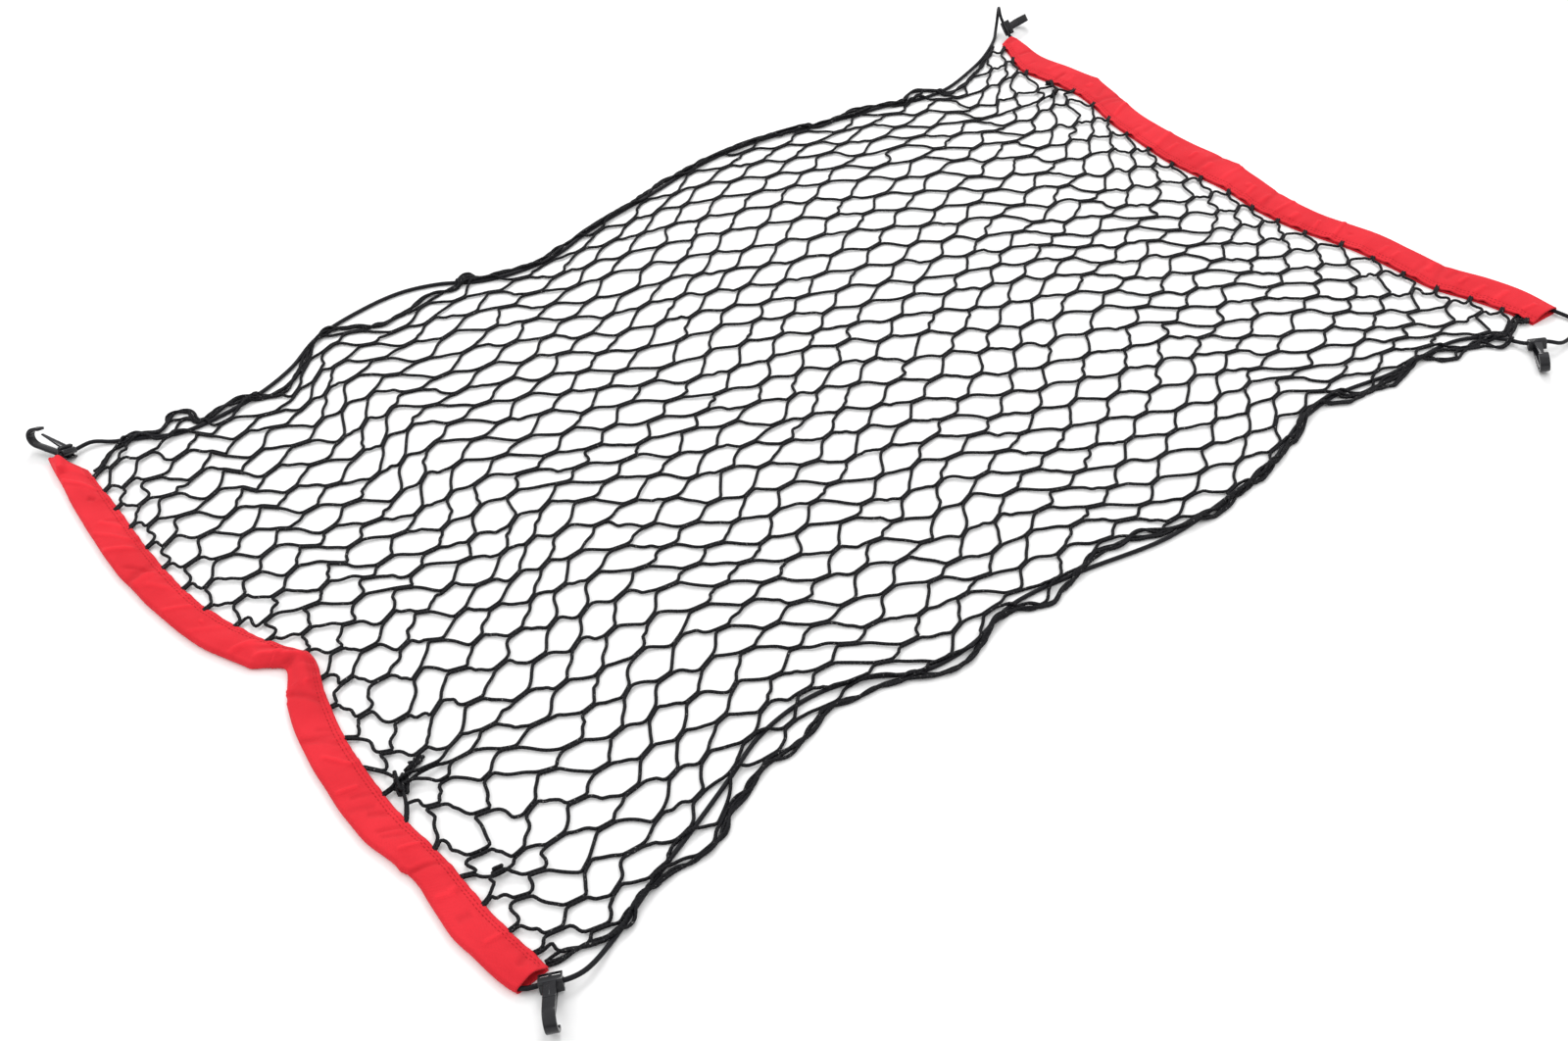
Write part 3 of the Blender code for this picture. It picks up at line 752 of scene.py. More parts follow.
def net_map():
    """A function that turns shares along and across the net into places on the plan."""
    near = blurred(NEAR_LINE, EDGE_BLUR)
    far = blurred(FAR_LINE, EDGE_BLUR)
    left = LEFT_EDGE.copy()
    right = RIGHT_EDGE.copy()
    left[0], left[-1] = near[0], far[0]
    right[0], right[-1] = near[-1], far[-1]

    def at(u, v):
        """The place at shares u along the net and v across it, between its four edges."""
        u, v = np.atleast_1d(u), np.atleast_1d(v)
        n, f = at_shares(near, np.clip(u, 0, 1)), at_shares(far, np.clip(u, 0, 1))
        a, b = at_shares(left, np.clip(v, 0, 1)), at_shares(right, np.clip(v, 0, 1))
        u, v = u[:, None], v[:, None]
        ends = (left[0] * (1 - v) + left[-1] * v) * (1 - u) + (right[0] * (1 - v) + right[-1] * v) * u
        return n * (1 - v) + f * v + a * (1 - u) + b * u - ends

    return at


def from_sleeves(x, y):
    """How far a place is from the nearer sleeve's inner edge."""
    left = x - np.interp(y, LEFT_EDGE[:, 1], LEFT_EDGE[:, 0])
    right = np.interp(y, RIGHT_EDGE[:, 1], RIGHT_EDGE[:, 0]) - x
    return np.minimum(left, right)


def drifted(plan, shift_x, shift_y):
    """The plan moved by slow drifts and by the tangles, which fade out towards the net's edges."""
    moved = plan.copy()
    x, y = plan[:, 0], plan[:, 1]
    free = np.clip((from_sleeves(x, y) + 1) / 9, 0, 1)
    calm = np.clip((455 - np.abs(x)) / 40, 0, 1) * np.clip((275 - np.abs(y)) / 50, 0.15, 1)
    moved[:, 0] += 3.2 * calm * shift_x(x, y)
    moved[:, 1] += 3.2 * calm * shift_y(x, y)
    for tx, ty, reach_x, reach_y, pull in TANGLES:
        away = np.hypot((moved[:, 0] - tx) / reach_x, (moved[:, 1] - ty) / reach_y)
        share = free * pull * np.exp(-(away**2))
        moved[:, 0] += (tx - moved[:, 0]) * share * 0.35
        moved[:, 1] += (ty - moved[:, 1]) * share
    return moved


def spaced(count, tighter, reach):
    """Places from 0 to 1, a little tighter together towards both ends, as a function of the number."""
    numbers = np.arange(count * 4 + 1) / 4
    from_end = np.minimum(numbers, count - numbers)
    density = 1 - tighter * np.exp(-from_end / reach)
    places = np.concatenate([[0.0], np.cumsum((density[1:] + density[:-1]) / 2)])
    return lambda number: np.interp(number, numbers, places / places[-1])


def net_strands():
    """The centreline of each of the net's strands, from sleeve to sleeve."""
    rng = np.random.default_rng(11)
    at = net_map()
    along_net, across_net = spaced(COLUMNS, 0.45, 2.0), spaced(ROWS, 0.35, 2.2)
    shift_x, shift_y = Waves(3, 110, 260), Waves(4, 110, 260)
    lift = Waves(5, 18, 60)
    numbers = np.arange(COLUMNS + 1)
    # The mesh is less even near the sleeves
    loosened = 1 + 1.1 * np.exp(-numbers / 2.2) + 1.5 * np.exp(-(COLUMNS - numbers) / 3.5)
    jitter = rng.normal(0, 1.0, (COLUMNS + 1, ROWS + 1, 2)) * 0.8 * loosened[:, None, None]
    tilt = rng.normal(0, 0.55, (COLUMNS + 1, ROWS + 1)) * loosened[:, None]
    half = rng.normal(DOUBLED / 2, 0.025, (COLUMNS + 1, ROWS + 1))
    lines = []
    for strand in range(STRANDS):
        corners = []
        for column in range(COLUMNS + 1):
            even = column % 2 == 0
            row = strand // 2 if even else (strand + 1) // 2
            level = across_net(row + 0.5 if even else row)
            alone = not even and row in (0, ROWS)
            below = strand % 2 == (0 if even else 1)
            side = 0.0 if alone else (-1.0 if below else 1.0)
            shares = along_net(np.array([column - 0.4, column, column + 0.4]))
            ends = at(shares, np.full(3, level))
            if column == 0:
                ends[0] = 2 * ends[1] - ends[2]
            if column == COLUMNS:
                ends[2] = 2 * ends[1] - ends[0]
            along = ends[2] - ends[0]
            along /= np.linalg.norm(along)
            half_length = max(half[column, row] * COLUMN_STEP, SHORTEST_HALF_PAIR)
            ends[0] = ends[1] - along * half_length
            ends[2] = ends[1] + along * half_length
            left_of = np.array([-along[1], along[0]])
            inside = column not in (0, COLUMNS)
            shift = jitter[column, row] * (1.0 if inside and not alone else 0.3)
            lean = left_of * tilt[column, row] * (0.9 if inside else 0.2)
            offset = left_of * PAIR_OFFSET * side
            corners.append((ends[0] + shift + offset - lean, ends[2] + shift + offset + lean))
        points = []
        for i, (start, end) in enumerate(corners):
            points.append(at_shares(np.array([start, end]), np.linspace(0, 1, 6)))
            if i == COLUMNS:
                break
            onward = corners[i + 1][0]
            t = np.linspace(0, 1, 14)[1:-1, None]
            across = onward - end
            square = np.array([-across[1], across[0]]) / max(np.linalg.norm(across), 1e-6)
            bow, sway = rng.normal(0, 0.8) * loosened[i], rng.normal(0, 0.6) * loosened[i]
            kink = rng.choice((-1, 1)) * rng.uniform(1.5, 2.8) * (rng.random() < KINKED_SHARE * loosened[i])
            kink_at = rng.uniform(0.25, 0.75)
            kinked = kink * np.exp(-(((t - kink_at) / 0.09) ** 2))
            aside = bow * np.sin(pi * t) + sway * np.sin(2 * pi * t) + kinked
            points.append(end + across * t + square * aside)
        plan = drifted(np.vstack(points), shift_x, shift_y)
        plan = softened(at_steps(plan, STRAND_STEP), 1)
        x, y = plan[:, 0], plan[:, 1]
        clear = from_sleeves(x, y)
        share = np.clip((60 - clear) / 50, 0, 1)
        heights = STRAND_UP + 0.05 + END_LIFT * share * share * (3 - 2 * share)
        heights = heights + 0.35 * (1 + lift(x, y)).clip(0)
        for tx, ty, reach_x, reach_y, pull in TANGLES:
            away = np.hypot((x - tx) / (0.5 * reach_x), (y - ty) / (0.4 * reach_y))
            piled = rng.uniform(0, PILE_HEIGHT) * pull * np.exp(-(away**2))
            heights += piled * np.clip(clear / 8 - 0.3, 0, 1)
        lines.append(over_cord(np.column_stack([plan, heights])))
    return lines


def slack_loops(seed):
    """The slack of the strands that has gathered in each tangle, as loose bits lying on each other."""
    rng = np.random.default_rng(seed)
    loops = []
    bends = 7
    for x, y, along, across, lean, count in SLACK:
        level, rise = cos(radians(lean)), sin(radians(lean))
        turned = np.array([[level, -rise], [rise, level]])
        for i in range(count):
            places = rng.uniform(-1, 1, (bends, 2)) * (along, across)
            places[::2, 0] = np.abs(places[::2, 0])
            places[1::2, 0] = -np.abs(places[1::2, 0])
            heights = STRAND_UP + 0.2 + rng.uniform(0, PILE_HEIGHT, bends) * (i + 1) / count
            heights[[0, -1]] = STRAND_UP + ABOVE_FLOOR
            course = np.column_stack([places @ turned.T + (x, y), heights])
            loops.append(curve_through(course, STRAND_STEP * 0.6))
    return loops


def selvedge_strands(line, seed):
    """The strands bunched along one edge: a twisted pair on its way, and one that strays beside it."""
    rng = np.random.default_rng(seed)
    strands = []
    run = run_of(line)
    for i, (spread, amount) in enumerate(((0.0, 1.0), (2.5, 1.0), (7.0, 2.0))):
        course = blurred(line, spread) if spread else line
        wander = amount * Waves(seed + i, 35, 80)(run, run * 0.0)
        twist = 1.1 * np.sin(2 * pi * run / (27 + 6 * i) + rng.uniform(0, 6))
        plan = course + sideways(course) * (wander + twist)[:, None]
        wave = np.sin(2 * pi * run / (23 + 5 * i) + 2.1 * i)
        heights = STRAND_UP + ABOVE_FLOOR + 0.55 * (1 + wave)
        strands.append(over_cord(np.column_stack([plan, heights])))
    return strands


def add_net():
    """The net as four sheets side by side, the outer two with the bunched selvedges."""
    strands = net_strands()
    near = selvedge_strands(NEAR_LINE, 21)
    far = selvedge_strands(FAR_LINE, 31)
    quarter = STRANDS // NET_SHEETS
    parts = {
        "net_near_edge": near + strands[:quarter],
        "net_near_middle": strands[quarter : 2 * quarter] + slack_loops(71),
        "net_far_middle": strands[2 * quarter : 3 * quarter],
        "net_far_edge": strands[3 * quarter :] + far,
    }
    for name, lines in parts.items():
        piece = new_object(name, tubes(name, lines, STRAND_ACROSS, STRAND_UP, STRAND_SIDES))
        piece.data.materials.append(NET_CORD)
        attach(piece, "root")
        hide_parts("net")


add_net()

# ---------------------------------------------------------------- sleeves

CLOTH = 0.8  # thickness of one layer
SEAM_LOW = 1.9  # the top layer at the seam between the net's strands
SEAM_OVER_STRAND = 1.5  # and how much higher over each strand
SECTION_BOTTOM = 12  # points across the lower layer, round the fold and across the top layer
SECTION_FOLD = 12
SECTION_TOP = 26
SLEEVE_STEP = 1.8
STITCH_ROWS = (3.0, 5.4)
STITCH_PITCH = 3.1
STITCH_LENGTH = 2.2
STITCH_RADIUS = 0.26
STITCH_SIDES = 5
NO_CORD = -9.0  # the room that a section with no cord in it asks for: less than any fold moves in

# The left sleeve's cloth, whose far end is pulled out past the cord in a rounded corner
LEFT_CLOTH = ((-474, 265, -490.5, 295.5, 0.5), (-475, 245, -494.5, 266, 1.0), *LEFT_SLEEVE[1:])
# The right sleeve's cloth, whose far end is pulled up to the hook
RIGHT_CLOTH = ((471, 289.5, 487.5, 291.5, 0.5), (463, 272, 485, 276, 0.5), *RIGHT_SLEEVE[1:])

# Folds pressed across a sleeve's top layer: from x, y to x, y, height, half width
LEFT_CREASES = (
    (-490, 273, -484.5, 288, 4.5, 3.8),
    (-505, 134, -478, 139, -1.2, 3.0),
    (-505, 128, -478, 132, 0.9, 4.0),
    (-478, -8, -440, 2, -1.6, 4.0),
    (-472, 12, -446, -12, 2.4, 2.2),
    (-468, 18, -442, -4, -1.8, 2.6),
    (-497, -68, -462, -80, -1.0, 3.0),
    (-497, -196, -467, -204, -2.2, 2.0),
)
RIGHT_CREASES = (
    (446, 152, 476, 140, -1.1, 3.5),
    (423, 14, 460, 8, -0.9, 3.5),
    (417, -66, 449, -60, -0.9, 3.0),
    (428, -228, 459, -218, -0.9, 3.0),
)

# Where the folded edge stands out in a point: y, how far, reach along the sleeve
LEFT_POINTS = ((12, 2.5, 7.0), (-190, 2.0, 5.0), (-201, -2.0, 5.0))
RIGHT_POINTS = ((179, 4.0, 9.0), (-8, 3.5, 9.0))
WRINKLE_STEP = 3.0


def wrinkles(rows, seed):
    """Small folds across the top layer, every 9 to 24 millimetres along a sleeve, as creases."""
    rng = np.random.default_rng(seed)
    inner = curve_through([(row[0], row[1]) for row in rows], WRINKLE_STEP)
    outer = curve_through([(row[2], row[3]) for row in rows], WRINKLE_STEP)
    outer = at_shares(outer, np.linspace(0, 1, len(inner)))
    found = []
    at = rng.uniform(6, 14)
    while at < len(inner) * WRINKLE_STEP - 12:
        i, lean = int(at / WRINKLE_STEP), rng.normal(0, 2.4)
        j = int(np.clip(i + lean, 0, len(inner) - 1))
        start, end = sorted(rng.uniform(0, 1, 2) * (0.45, 0.55) + (0.0, 0.45))
        near, far = inner[i], outer[j]
        a, b = near + (far - near) * start, near + (far - near) * end
        found.append((*a, *b, rng.choice((-1, 1)) * rng.uniform(0.6, 1.4), rng.uniform(1.3, 3.0)))
        at += rng.uniform(9, 24)
    return found


def crease_height(x, y, creases):
    """How far the folds raise or lower the cloth at a place."""
    height = np.zeros_like(x)
    for x1, y1, x2, y2, depth, width in creases:
        dx, dy = x2 - x1, y2 - y1
        length = np.hypot(dx, dy)
        along = ((x - x1) * dx + (y - y1) * dy) / length**2
        away = ((x - x1) * dy - (y - y1) * dx) / length
        fade = np.clip(np.minimum(along, 1 - along) * 5 + 0.9, 0, 1)
        height += depth * fade * np.exp(-((away / width) ** 2))
    return height


def sleeve_rows(rows):
    """The sleeve's sections an even step apart: both edges, the crown, and how far along each is."""
    table = np.array(rows, float)
    line = curve_through(table[:, :4], SLEEVE_STEP)
    middle = run_of((table[:, 0:2] + table[:, 2:4]) / 2)
    line_middle = run_of((line[:, 0:2] + line[:, 2:4]) / 2)
    crown = np.interp(line_middle / line_middle[-1] * middle[-1], middle, table[:, 4])
    return line, crown, line_middle


def top_of(distance, width, crown, over_strand, along, seed):
    """The top layer's middle height at this distance from the stitched edge."""
    fold = width - FOLD_RADIUS
    top = 2 * FOLD_RADIUS - CLOTH / 2
    share = np.clip(distance / fold, 0, 1)
    rise = SEAM_LOW + CLOTH / 2 + (top - SEAM_LOW - CLOTH / 2) * np.sin(share * pi / 2) ** 0.8
    bump = SEAM_OVER_STRAND * over_strand * np.exp(-distance / 7.0)
    crowned = crown * np.sin(pi * share) ** 1.3
    groove = sum(-0.35 * np.exp(-(((distance - d) / 0.7) ** 2)) for d in STITCH_ROWS)
    slow, quick = Waves(seed, 22, 60), Waves(seed + 1, 6, 10)
    rolled = 0.45 * np.sin(pi * share) * slow(along, distance * 1.5)
    pucker = 0.28 * np.exp(-np.maximum(distance - 3, 0) / 6.0) * quick(along, distance * 0.2)
    return rise + bump + crowned + groove + rolled + pucker


def room_for_cord(inner, outer):
    """How far the fold has to move out at a section, so that the cord lies inside it."""
    width = np.linalg.norm(outer - inner)
    direction = (outer - inner) / width
    away = CORD_LINE[:, :2] - inner
    reach = away @ direction
    beside = np.abs(away[:, 0] * direction[1] - away[:, 1] * direction[0])
    near = (beside < 3.0) & (np.abs(reach - width) < 9.0) & (CORD_LINE[:, 2] < FOLD_RADIUS + 0.3)
    if not near.any():
        return NO_CORD
    return reach[near].max() + CORD_RADIUS + 0.2 - (width - CLOTH)


def sleeve_grid(rows, creases, points_out, seed):
    """The sleeve's cloth as a grid of middle-surface points, and where each lies along and across it."""
    line, crown, along = sleeve_rows(rows)
    inner, outer = line[:, 0:2], line[:, 2:4]
    width = np.linalg.norm(outer - inner, axis=1)
    stubs = at_shares(inner_edge(rows), (np.arange(ROWS) + 0.5) / ROWS)
    away = np.linalg.norm(inner[:, None] - stubs[None], axis=2).min(axis=1)
    over_strand = np.exp(-((away / 3.6) ** 2))
    slow = Waves(seed + 5, 30, 90)
    radius = FOLD_RADIUS - CLOTH / 2
    angles = np.linspace(-pi / 2, pi / 2, SECTION_FOLD, endpoint=False)
    none_below, all_above = np.zeros(SECTION_BOTTOM), np.ones(SECTION_TOP)
    on_top = np.concatenate([none_below, np.clip(np.sin(angles), 0, 1), all_above])
    low = np.full(SECTION_BOTTOM, CLOTH / 2 + 0.05)
    grid, runs, creased = [], [], []
    for i in range(len(line)):
        fold = width[i] - FOLD_RADIUS
        flat = np.linspace(0, fold, SECTION_BOTTOM, endpoint=False)
        back = np.linspace(fold, 0, SECTION_TOP)
        heights = top_of(back, width[i], crown[i], over_strand[i], along[i], seed)
        distance = np.concatenate([flat, fold + radius * np.cos(angles), back])
        height = np.concatenate([low, FOLD_RADIUS + radius * np.sin(angles), heights])
        direction = (outer[i] - inner[i]) / width[i]
        plan = inner[i] + direction * distance[:, None]
        seam_fade = np.clip(np.concatenate([none_below, np.ones(SECTION_FOLD), back / 6]), 0, 1)
        crease = on_top * seam_fade * crease_height(plan[:, 0], plan[:, 1], creases)
        height = height + crease
        pointed = sum(far * np.exp(-abs(outer[i, 1] - y) / reach) for y, far, reach in points_out)
        outward = max(0.5 * slow(along[i], 0.0) + pointed, room_for_cord(inner[i], outer[i]))
        plan = plan + direction * (outward * np.clip(distance / fold, 0, 1))[:, None]
        points = np.column_stack([plan, height])
        grid.append(points)
        runs.append(run_of(points))
        creased.append(crease)
    return np.array(grid), np.array(runs), along, np.array(creased)


def sheet_mesh(name, grid, runs, along):
    """An open sheet from a grid of points, with its UV map in the cloth's own length and width."""
    rows, columns = grid.shape[:2]
    i, j = np.meshgrid(np.arange(rows - 1), np.arange(columns - 1), indexing="ij")
    here, onward = i * columns + j, (i + 1) * columns + j
    quads = np.stack([here, here + 1, onward + 1, onward], axis=-1)
    u = np.stack([along[i], along[i], along[i + 1], along[i + 1]], axis=-1) / UV_LENGTH
    v = np.stack([runs[i, j], runs[i, j + 1], runs[i + 1, j + 1], runs[i + 1, j]], axis=-1) / UV_LENGTH
    uvs = np.stack([u, v], axis=-1).reshape(-1, 2)
    return mesh_from(name, grid.reshape(-1, 3), quads.reshape(-1), np.full(quads.size // 4, 4), uvs)


def stitch_lines(grid):
    """Short lengths of thread along the sleeve's stitched edge, on its top layer."""
    stitches = []
    for away in STITCH_ROWS:
        seam = []
        for points in grid:
            top = points[::-1][:SECTION_TOP]
            run = run_of(top)
            seam.append([np.interp(away, run, top[:, k]) for k in range(3)])
        seam = np.array(seam)
        seam[:, 2] += CLOTH / 2 + 0.05
        run = run_of(seam)
        for start in np.arange(2.0, run[-1] - STITCH_PITCH, STITCH_PITCH):
            shares = np.linspace(start, start + STITCH_LENGTH, 4) / run[-1]
            bit = at_shares(seam, shares)
            bit[[0, -1], 2] -= 0.3
            stitches.append(bit)
    return stitches


def add_sleeve(name, node, rows, creases, points_out, seed):
    """One sleeve: its folded cloth and the stitches along its inner edge."""
    grid, runs, along, creased = sleeve_grid(rows, [*creases, *wrinkles(rows, seed)], points_out, seed)
    piece = new_object(name, sheet_mesh(name, grid, runs, along))
    # The creases' heights, which the fabric's material turns into painted shade in the troughs and painted
    # highlight on the ridges
    layer = piece.data.attributes.new("crease", "FLOAT", "POINT")
    layer.data.foreach_set("value", creased.astype(np.float32).ravel())
    apply_modifier(piece, "SOLIDIFY", thickness=CLOTH * MM, offset=0.0, use_even_offset=False)
    piece.data.materials.append(SLEEVE_FABRIC)
    piece.data.shade_smooth()
    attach(piece, "root")
    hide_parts(node)
    sewn = name + "_stitches"
    thread = new_object(sewn, tubes(sewn, stitch_lines(grid), STITCH_RADIUS, STITCH_RADIUS, STITCH_SIDES))
    thread.data.materials.append(SLEEVE_THREAD)
    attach(thread, "root")


add_sleeve("left_sleeve_cloth", "sleeve_left", LEFT_CLOTH, LEFT_CREASES, LEFT_POINTS, 51)
add_sleeve("right_sleeve_cloth", "sleeve_right", RIGHT_CLOTH, RIGHT_CREASES, RIGHT_POINTS, 61)

# ---------------------------------------------------------------- hooks, in their own frame

# X runs from the cord to the bend, Z from the flat back to the nose, and the origin is in the channel
HOOK_FRONT = 4.0
HOOK_PLATE = 1.2  # thickness of the clip's back plate
HOOK_CLIP_HEIGHT = 8.4
HOOK_CHANNEL_RADIUS = 1.8
HOOK_LIP = 2.9  # outside radius of the lip that curls over the cord
HOOK_BAR = (2.6, 25.6)
HOOK_BAR_WIDTH = 7.2
HOOK_BAR_BACK = 0.2
HOOK_BAR_THICKNESS = 2.2
HOOK_BEND = (9.0, 7.4)  # half of the bend's length along the hook, and of its height
HOOK_BEND_TURN = 165
HOOK_BEND_STEPS = 22
HOOK_TONGUE = (3.0, 23.4)
HOOK_TONGUE_HEIGHT = (7.2, 10.8)
HOOK_TONGUE_WIDTH = (6.2, 2.4)
HOOK_EDGE_ANGLE = radians(35)  # edges sharper than this are rounded
LIP_RAILS = ((-2.35, 5.9), (-1.0, 6.85))  # x, z
CROSSBAR_RIBS = (1.9, 3.1)
NOSE_STATIONS = (1.5, 2.9, 3.4)  # how far past the bend the nose is drawn out
BEND_RIBS = (55, 90, 125)  # degrees round the bend


def select_only(piece):
    bpy.ops.object.select_all(action="DESELECT")
    piece.select_set(True)
    bpy.context.view_layer.objects.active = piece


def box_part(name, low, high):
    """A box between two corners in the hook's own frame, to be shaped further."""
    shift = Vector((0, 0, -HOOK_CHANNEL_HEIGHT))
    low, high = (Vector(low) + shift) * MM, (Vector(high) + shift) * MM
    bpy.ops.object.select_all(action="DESELECT")
    bpy.ops.mesh.primitive_cube_add(size=1.0, location=(low + high) / 2)
    part = bpy.context.object
    part.name = name
    part.scale = high - low
    bpy.ops.object.transform_apply(location=True, rotation=False, scale=True)
    return part


def select_faces(part, wanted):
    """Selects, in edit mode, the faces that the test wants."""
    bm = bmesh.from_edit_mesh(part.data)
    for face in bm.faces:
        face.select_set(False)
    bm.select_flush(False)
    for face in bm.faces:
        if wanted(face):
            face.select_set(True)
    bmesh.update_edit_mesh(part.data)


def is_far_end(face):
    """Whether a face looks along the hook, away from the cord."""
    return face.normal.x > 0.9


def round_edges(part, width, segments):
    select_only(part)
    limit = {"limit_method": "ANGLE", "angle_limit": HOOK_EDGE_ANGLE}
    apply_modifier(part, "BEVEL", width=width * MM, segments=segments, **limit)


def cut_away(part, cutter):
    apply_modifier(part, "BOOLEAN", operation="DIFFERENCE", object=cutter)
    bpy.data.objects.remove(cutter)


def round_bar(radius, depth, x=0.0, z=HOOK_CHANNEL_HEIGHT):
    """A round bar across the hook, the way that the cord runs through it."""
    bpy.ops.object.select_all(action="DESELECT")
    place = Vector((x, 0, z - HOOK_CHANNEL_HEIGHT)) * MM
    bpy.ops.mesh.primitive_cylinder_add(
        vertices=40, radius=radius * MM, depth=depth * MM, location=place, rotation=(radians(90), 0, 0)
    )
    bpy.ops.object.transform_apply(location=True, rotation=True, scale=True)
    return bpy.context.object


def hook_clip():
    """The cord clip: a back plate with two windows, a crossbar, and a lip that curls over the cord."""
    wide = HOOK_BASE_WIDTH / 2
    plate = box_part("hook_plate", (-HOOK_REAR, -wide, 0), (HOOK_FRONT, wide, HOOK_PLATE + 1.4))
    round_edges(plate, 0.35, 2)
    cut_away(plate, round_bar(HOOK_CHANNEL_RADIUS, 30))
    cut_away(plate, box_part("rear_slope", (-HOOK_REAR - 2, -10, HOOK_PLATE), (-0.4, 10, 6)))
    for side in (-1, 1):
        y = side * 3.3
        cut_away(plate, box_part("window", (-2.7, y - 2.35, -1), (-0.5, y + 2.35, 4)))
    crossbar = box_part("hook_crossbar", (1.3, -wide, 0.9), (HOOK_FRONT, wide, HOOK_CLIP_HEIGHT))
    round_edges(crossbar, 0.6, 3)
    cut_away(crossbar, round_bar(HOOK_CHANNEL_RADIUS, 30))
    lip = round_bar(HOOK_LIP, HOOK_BASE_WIDTH)
    round_edges(lip, 0.35, 2)
    cut_away(lip, round_bar(HOOK_CHANNEL_RADIUS, 30))
    cut_away(lip, box_part("mouth", (-6, -10, 0), (-0.3, 10, HOOK_CHANNEL_HEIGHT - 0.6)))
    cut_away(lip, box_part("under", (-6, -10, 0), (6, 10, 1.0)))
    parts = [plate, crossbar, lip]
    for x, z in LIP_RAILS:
        rail = round_bar(0.34, HOOK_BASE_WIDTH - 1.2, x, z)
        round_edges(rail, 0.12, 1)
        parts.append(rail)
    for x in CROSSBAR_RIBS:
        low = (x - 0.3, -wide + 1.2, HOOK_CLIP_HEIGHT - 0.6)
        rib = box_part("rib", low, (x + 0.3, wide - 1.2, HOOK_CLIP_HEIGHT + 0.25))
        round_edges(rib, 0.2, 2)
        parts.append(rib)
    return parts


def bend_at(degrees_round):
    """The middle of the band round the bend, and the angle that it runs at there."""
    along = HOOK_BEND[0] - HOOK_BAR_THICKNESS / 2
    up = HOOK_BEND[1] - HOOK_BAR_THICKNESS / 2
    turned = radians(degrees_round - 90)
    x = HOOK_BAR[1] + along * cos(turned)
    z = HOOK_BAR_BACK + HOOK_BEND[1] + up * sin(turned)
    return x, z, atan2(up * cos(turned), -along * sin(turned))


def hook_band():
    """The back bar, the round bend and the splayed nose, drawn out in one band."""
    wide = HOOK_BAR_WIDTH / 2
    start, end = HOOK_BAR
    top = HOOK_BAR_BACK + HOOK_BAR_THICKNESS
    part = box_part("hook_band", (start, -wide, HOOK_BAR_BACK), (end, wide, top))
    select_only(part)
    bpy.ops.object.mode_set(mode="EDIT")
    select_faces(part, is_far_end)
    stations = [bend_at(HOOK_BEND_TURN * i / HOOK_BEND_STEPS) for i in range(HOOK_BEND_STEPS + 1)]
    last_x, last_z, last_angle = stations[-1]
    for reach in NOSE_STATIONS:
        stations.append((last_x + reach * cos(last_angle), last_z + reach * sin(last_angle), last_angle))
    narrower = {len(stations) - 2: (0.95, 0.95), len(stations) - 1: (0.85, 0.75)}
    for i in range(1, len(stations)):
        x, z, angle = stations[i]
        step = Vector((x - stations[i - 1][0], 0, z - stations[i - 1][1])) * MM
        bpy.ops.mesh.extrude_region_move(TRANSFORM_OT_translate={"value": step})
        turn_face(part, angle - stations[i - 1][2], narrower.get(i, (1.0, 1.0)), angle)
    bpy.ops.object.mode_set(mode="OBJECT")
    round_edges(part, 0.4, 3)
    return [part]


def turn_face(part, angle, size, heading):
    """Turns the selected end face about the hook's cross axis, and scales its width and thickness."""
    bm = bmesh.from_edit_mesh(part.data)
    verts = [vert for vert in bm.verts if vert.select]
    middle = sum((vert.co for vert in verts), Vector()) / len(verts)
    turned = Matrix.Rotation(-angle, 3, "Y")
    across = Vector((-sin(heading), 0, cos(heading)))
    for vert in verts:
        away = turned @ (vert.co - middle)
        away.y *= size[0]
        away += across * away.dot(across) * (size[1] - 1)
        vert.co = middle + away
    bmesh.update_edit_mesh(part.data)


def hook_tongue():
    """The sprung tongue, tapering from the clip to a point just short of the nose."""
    (start, end), (low, high) = HOOK_TONGUE, HOOK_TONGUE_HEIGHT
    half = HOOK_TONGUE_WIDTH[0] / 2
    part = box_part("hook_tongue", (start, -half, low - 0.9), (end, half, low + 0.9))
    select_only(part)
    bpy.ops.object.mode_set(mode="EDIT")
    select_faces(part, is_far_end)
    bpy.ops.transform.resize(value=(1.0, HOOK_TONGUE_WIDTH[1] / HOOK_TONGUE_WIDTH[0], 0.5))
    bpy.ops.transform.translate(value=(0, 0, (high - low) * MM))
    bpy.ops.object.mode_set(mode="OBJECT")
    round_edges(part, 0.3, 2)
    return [part]


def hook_ribs():
    """Fine ribs across the inside of the bend, the step where the flat back ends, and a line down it."""
    ribs = []
    for degrees_round in BEND_RIBS:
        x, z, angle = bend_at(degrees_round)
        inward = HOOK_BAR_THICKNESS / 2
        rib = box_part("bend_rib", (-0.35, -2.7, -0.4), (0.35, 2.7, 0.4))
        rib.data.transform(Matrix.Translation(Vector((0, 0, HOOK_CHANNEL_HEIGHT)) * MM))
        rib.data.transform(Matrix.Rotation(-angle, 4, "Y"))
        place = Vector((x - inward * sin(angle), 0, z + inward * cos(angle) - HOOK_CHANNEL_HEIGHT))
        rib.data.transform(Matrix.Translation(place * MM))
        round_edges(rib, 0.2, 2)
        ribs.append(rib)
    step = box_part("back_step", (16.0, -3.6, HOOK_BAR_BACK - 0.2), (16.8, 3.6, HOOK_BAR_BACK + 0.6))
    line = box_part("back_line", (4.4, -0.35, HOOK_BAR_BACK - 0.2), (15.6, 0.35, HOOK_BAR_BACK + 0.6))
    for raised in (step, line):
        round_edges(raised, 0.15, 2)
    return [*ribs, step, line]


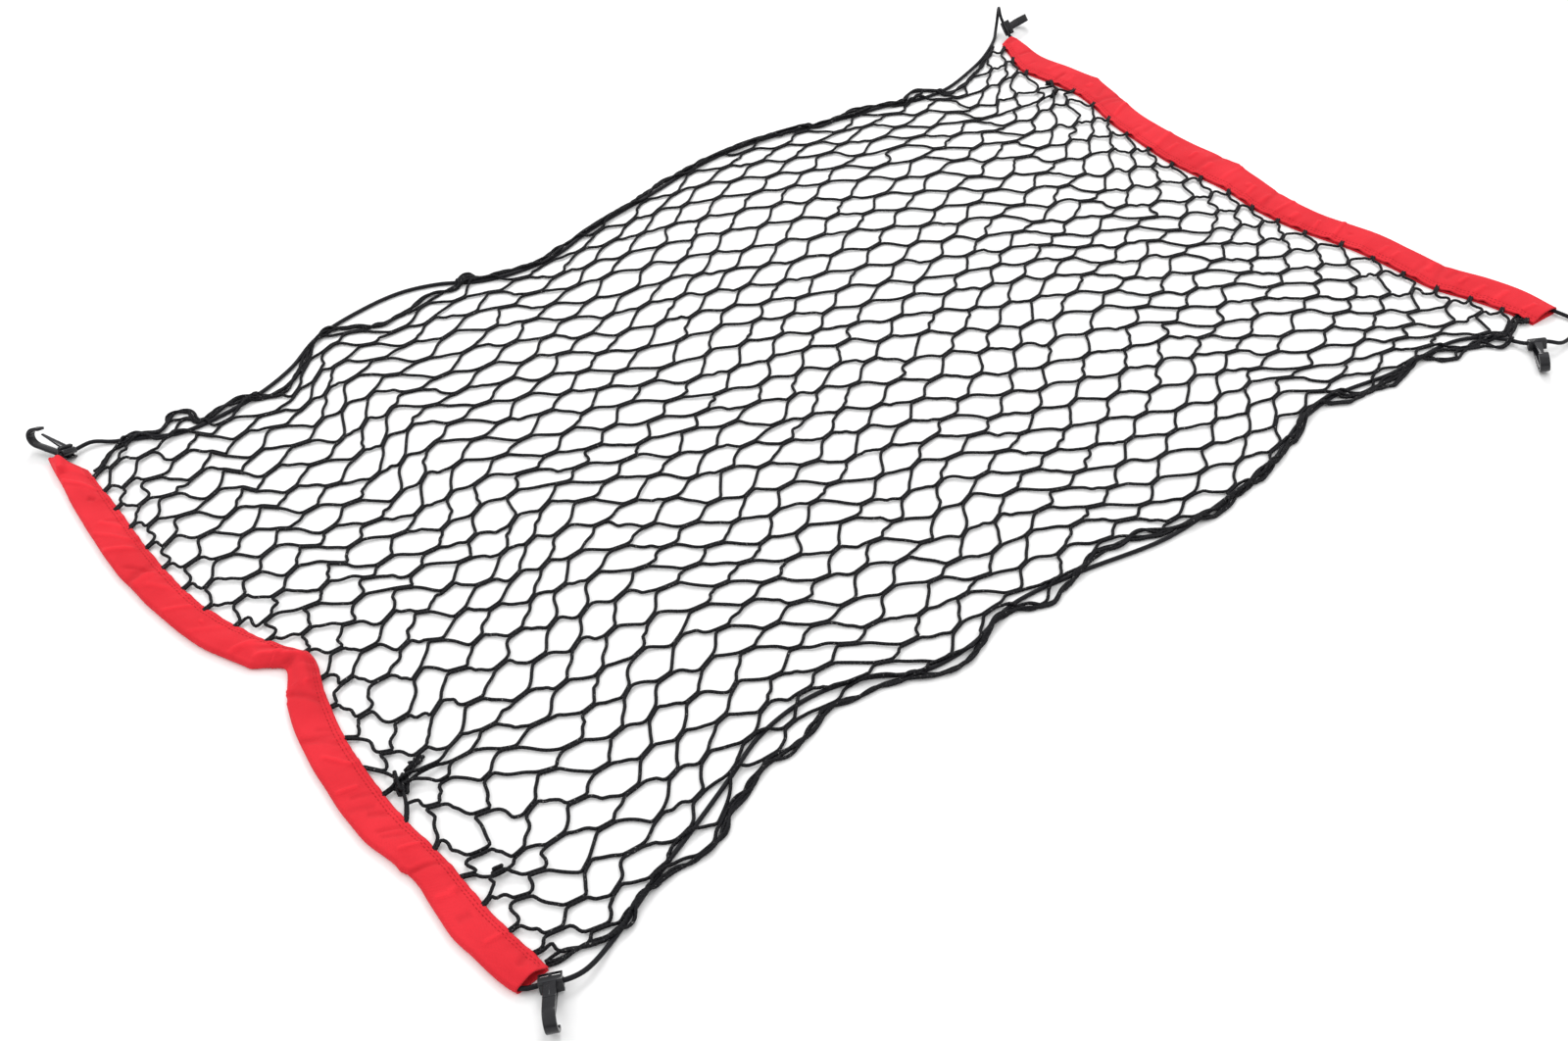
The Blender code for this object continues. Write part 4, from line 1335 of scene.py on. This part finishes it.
def add_hooks():
    """One hook, joined from its parts, and a copy of it wherever a hook lies."""
    parts = [*hook_clip(), *hook_band(), *hook_tongue(), *hook_ribs()]
    bpy.ops.object.select_all(action="DESELECT")
    for part in parts:
        part.select_set(True)
    bpy.context.view_layer.objects.active = parts[0]
    bpy.ops.object.join()
    whole = bpy.context.object
    select_only(whole)
    bpy.ops.object.shade_smooth_by_angle(angle=radians(40))
    for name, place in HOOK_PLACES.items():
        mesh = whole.data.copy()
        mesh.transform(place)
        piece = new_object("snap_" + name, mesh)
        mesh.materials.clear()
        mesh.materials.append(HOOK_PLASTIC)
        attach(piece, "root")
        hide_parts(name)
    bpy.data.objects.remove(whole)


add_hooks()

# ---------------------------------------------------------------- stage

SKY_LOW = 0.42  # brightness of the surroundings near the floor, and overhead
SKY_HIGH = 1.15

bpy.ops.mesh.primitive_plane_add(size=12.0, location=(0, 0, -0.0002))
floor = bpy.context.object
floor.name = "floor"
made, nodes, shader = material("floor_paper", 0.9, Specular_IOR_Level=0.1)
shader.inputs["Base Color"].default_value = socket_colour(0.93, 0.93, 0.93)
floor.data.materials.append(made)

world = bpy.data.worlds.new("studio")
world.use_nodes = True
sky = Nodes(world.node_tree)
direction = sky.add("ShaderNodeTexCoord")
height = sky.add("ShaderNodeSeparateXYZ", {0: direction.outputs["Generated"]})
bright = sky.ranged(height.outputs[2], 0.1, 0.75, SKY_LOW, SKY_HIGH, interpolation_type="SMOOTHSTEP")
background = world.node_tree.nodes["Background"]
background.inputs["Color"].default_value = (1.0, 1.0, 1.0, 1.0)
sky.feed(background.inputs["Strength"], bright)
bpy.context.scene.world = world
bpy.context.scene.view_settings.view_transform = "Standard"


def soft_light(name, place, size, power):
    """A round lamp that faces the middle of the net."""
    data = bpy.data.lights.new(name, "AREA")
    data.shape = "DISK"
    data.size = size
    data.energy = power
    lamp = bpy.data.objects.new(name, data)
    bpy.context.scene.collection.objects.link(lamp)
    lamp.location = place
    lamp.rotation_euler = Vector(place).to_track_quat("Z", "Y").to_euler()


soft_light("key_light", (2.0, 2.4, 2.75), 1.5, 55.0)
soft_light("side_light", (-2.0, 1.6, 2.0), 1.8, 16.0)
soft_light("fill_light", (1.8, -1.2, 2.2), 2.2, 5.0)
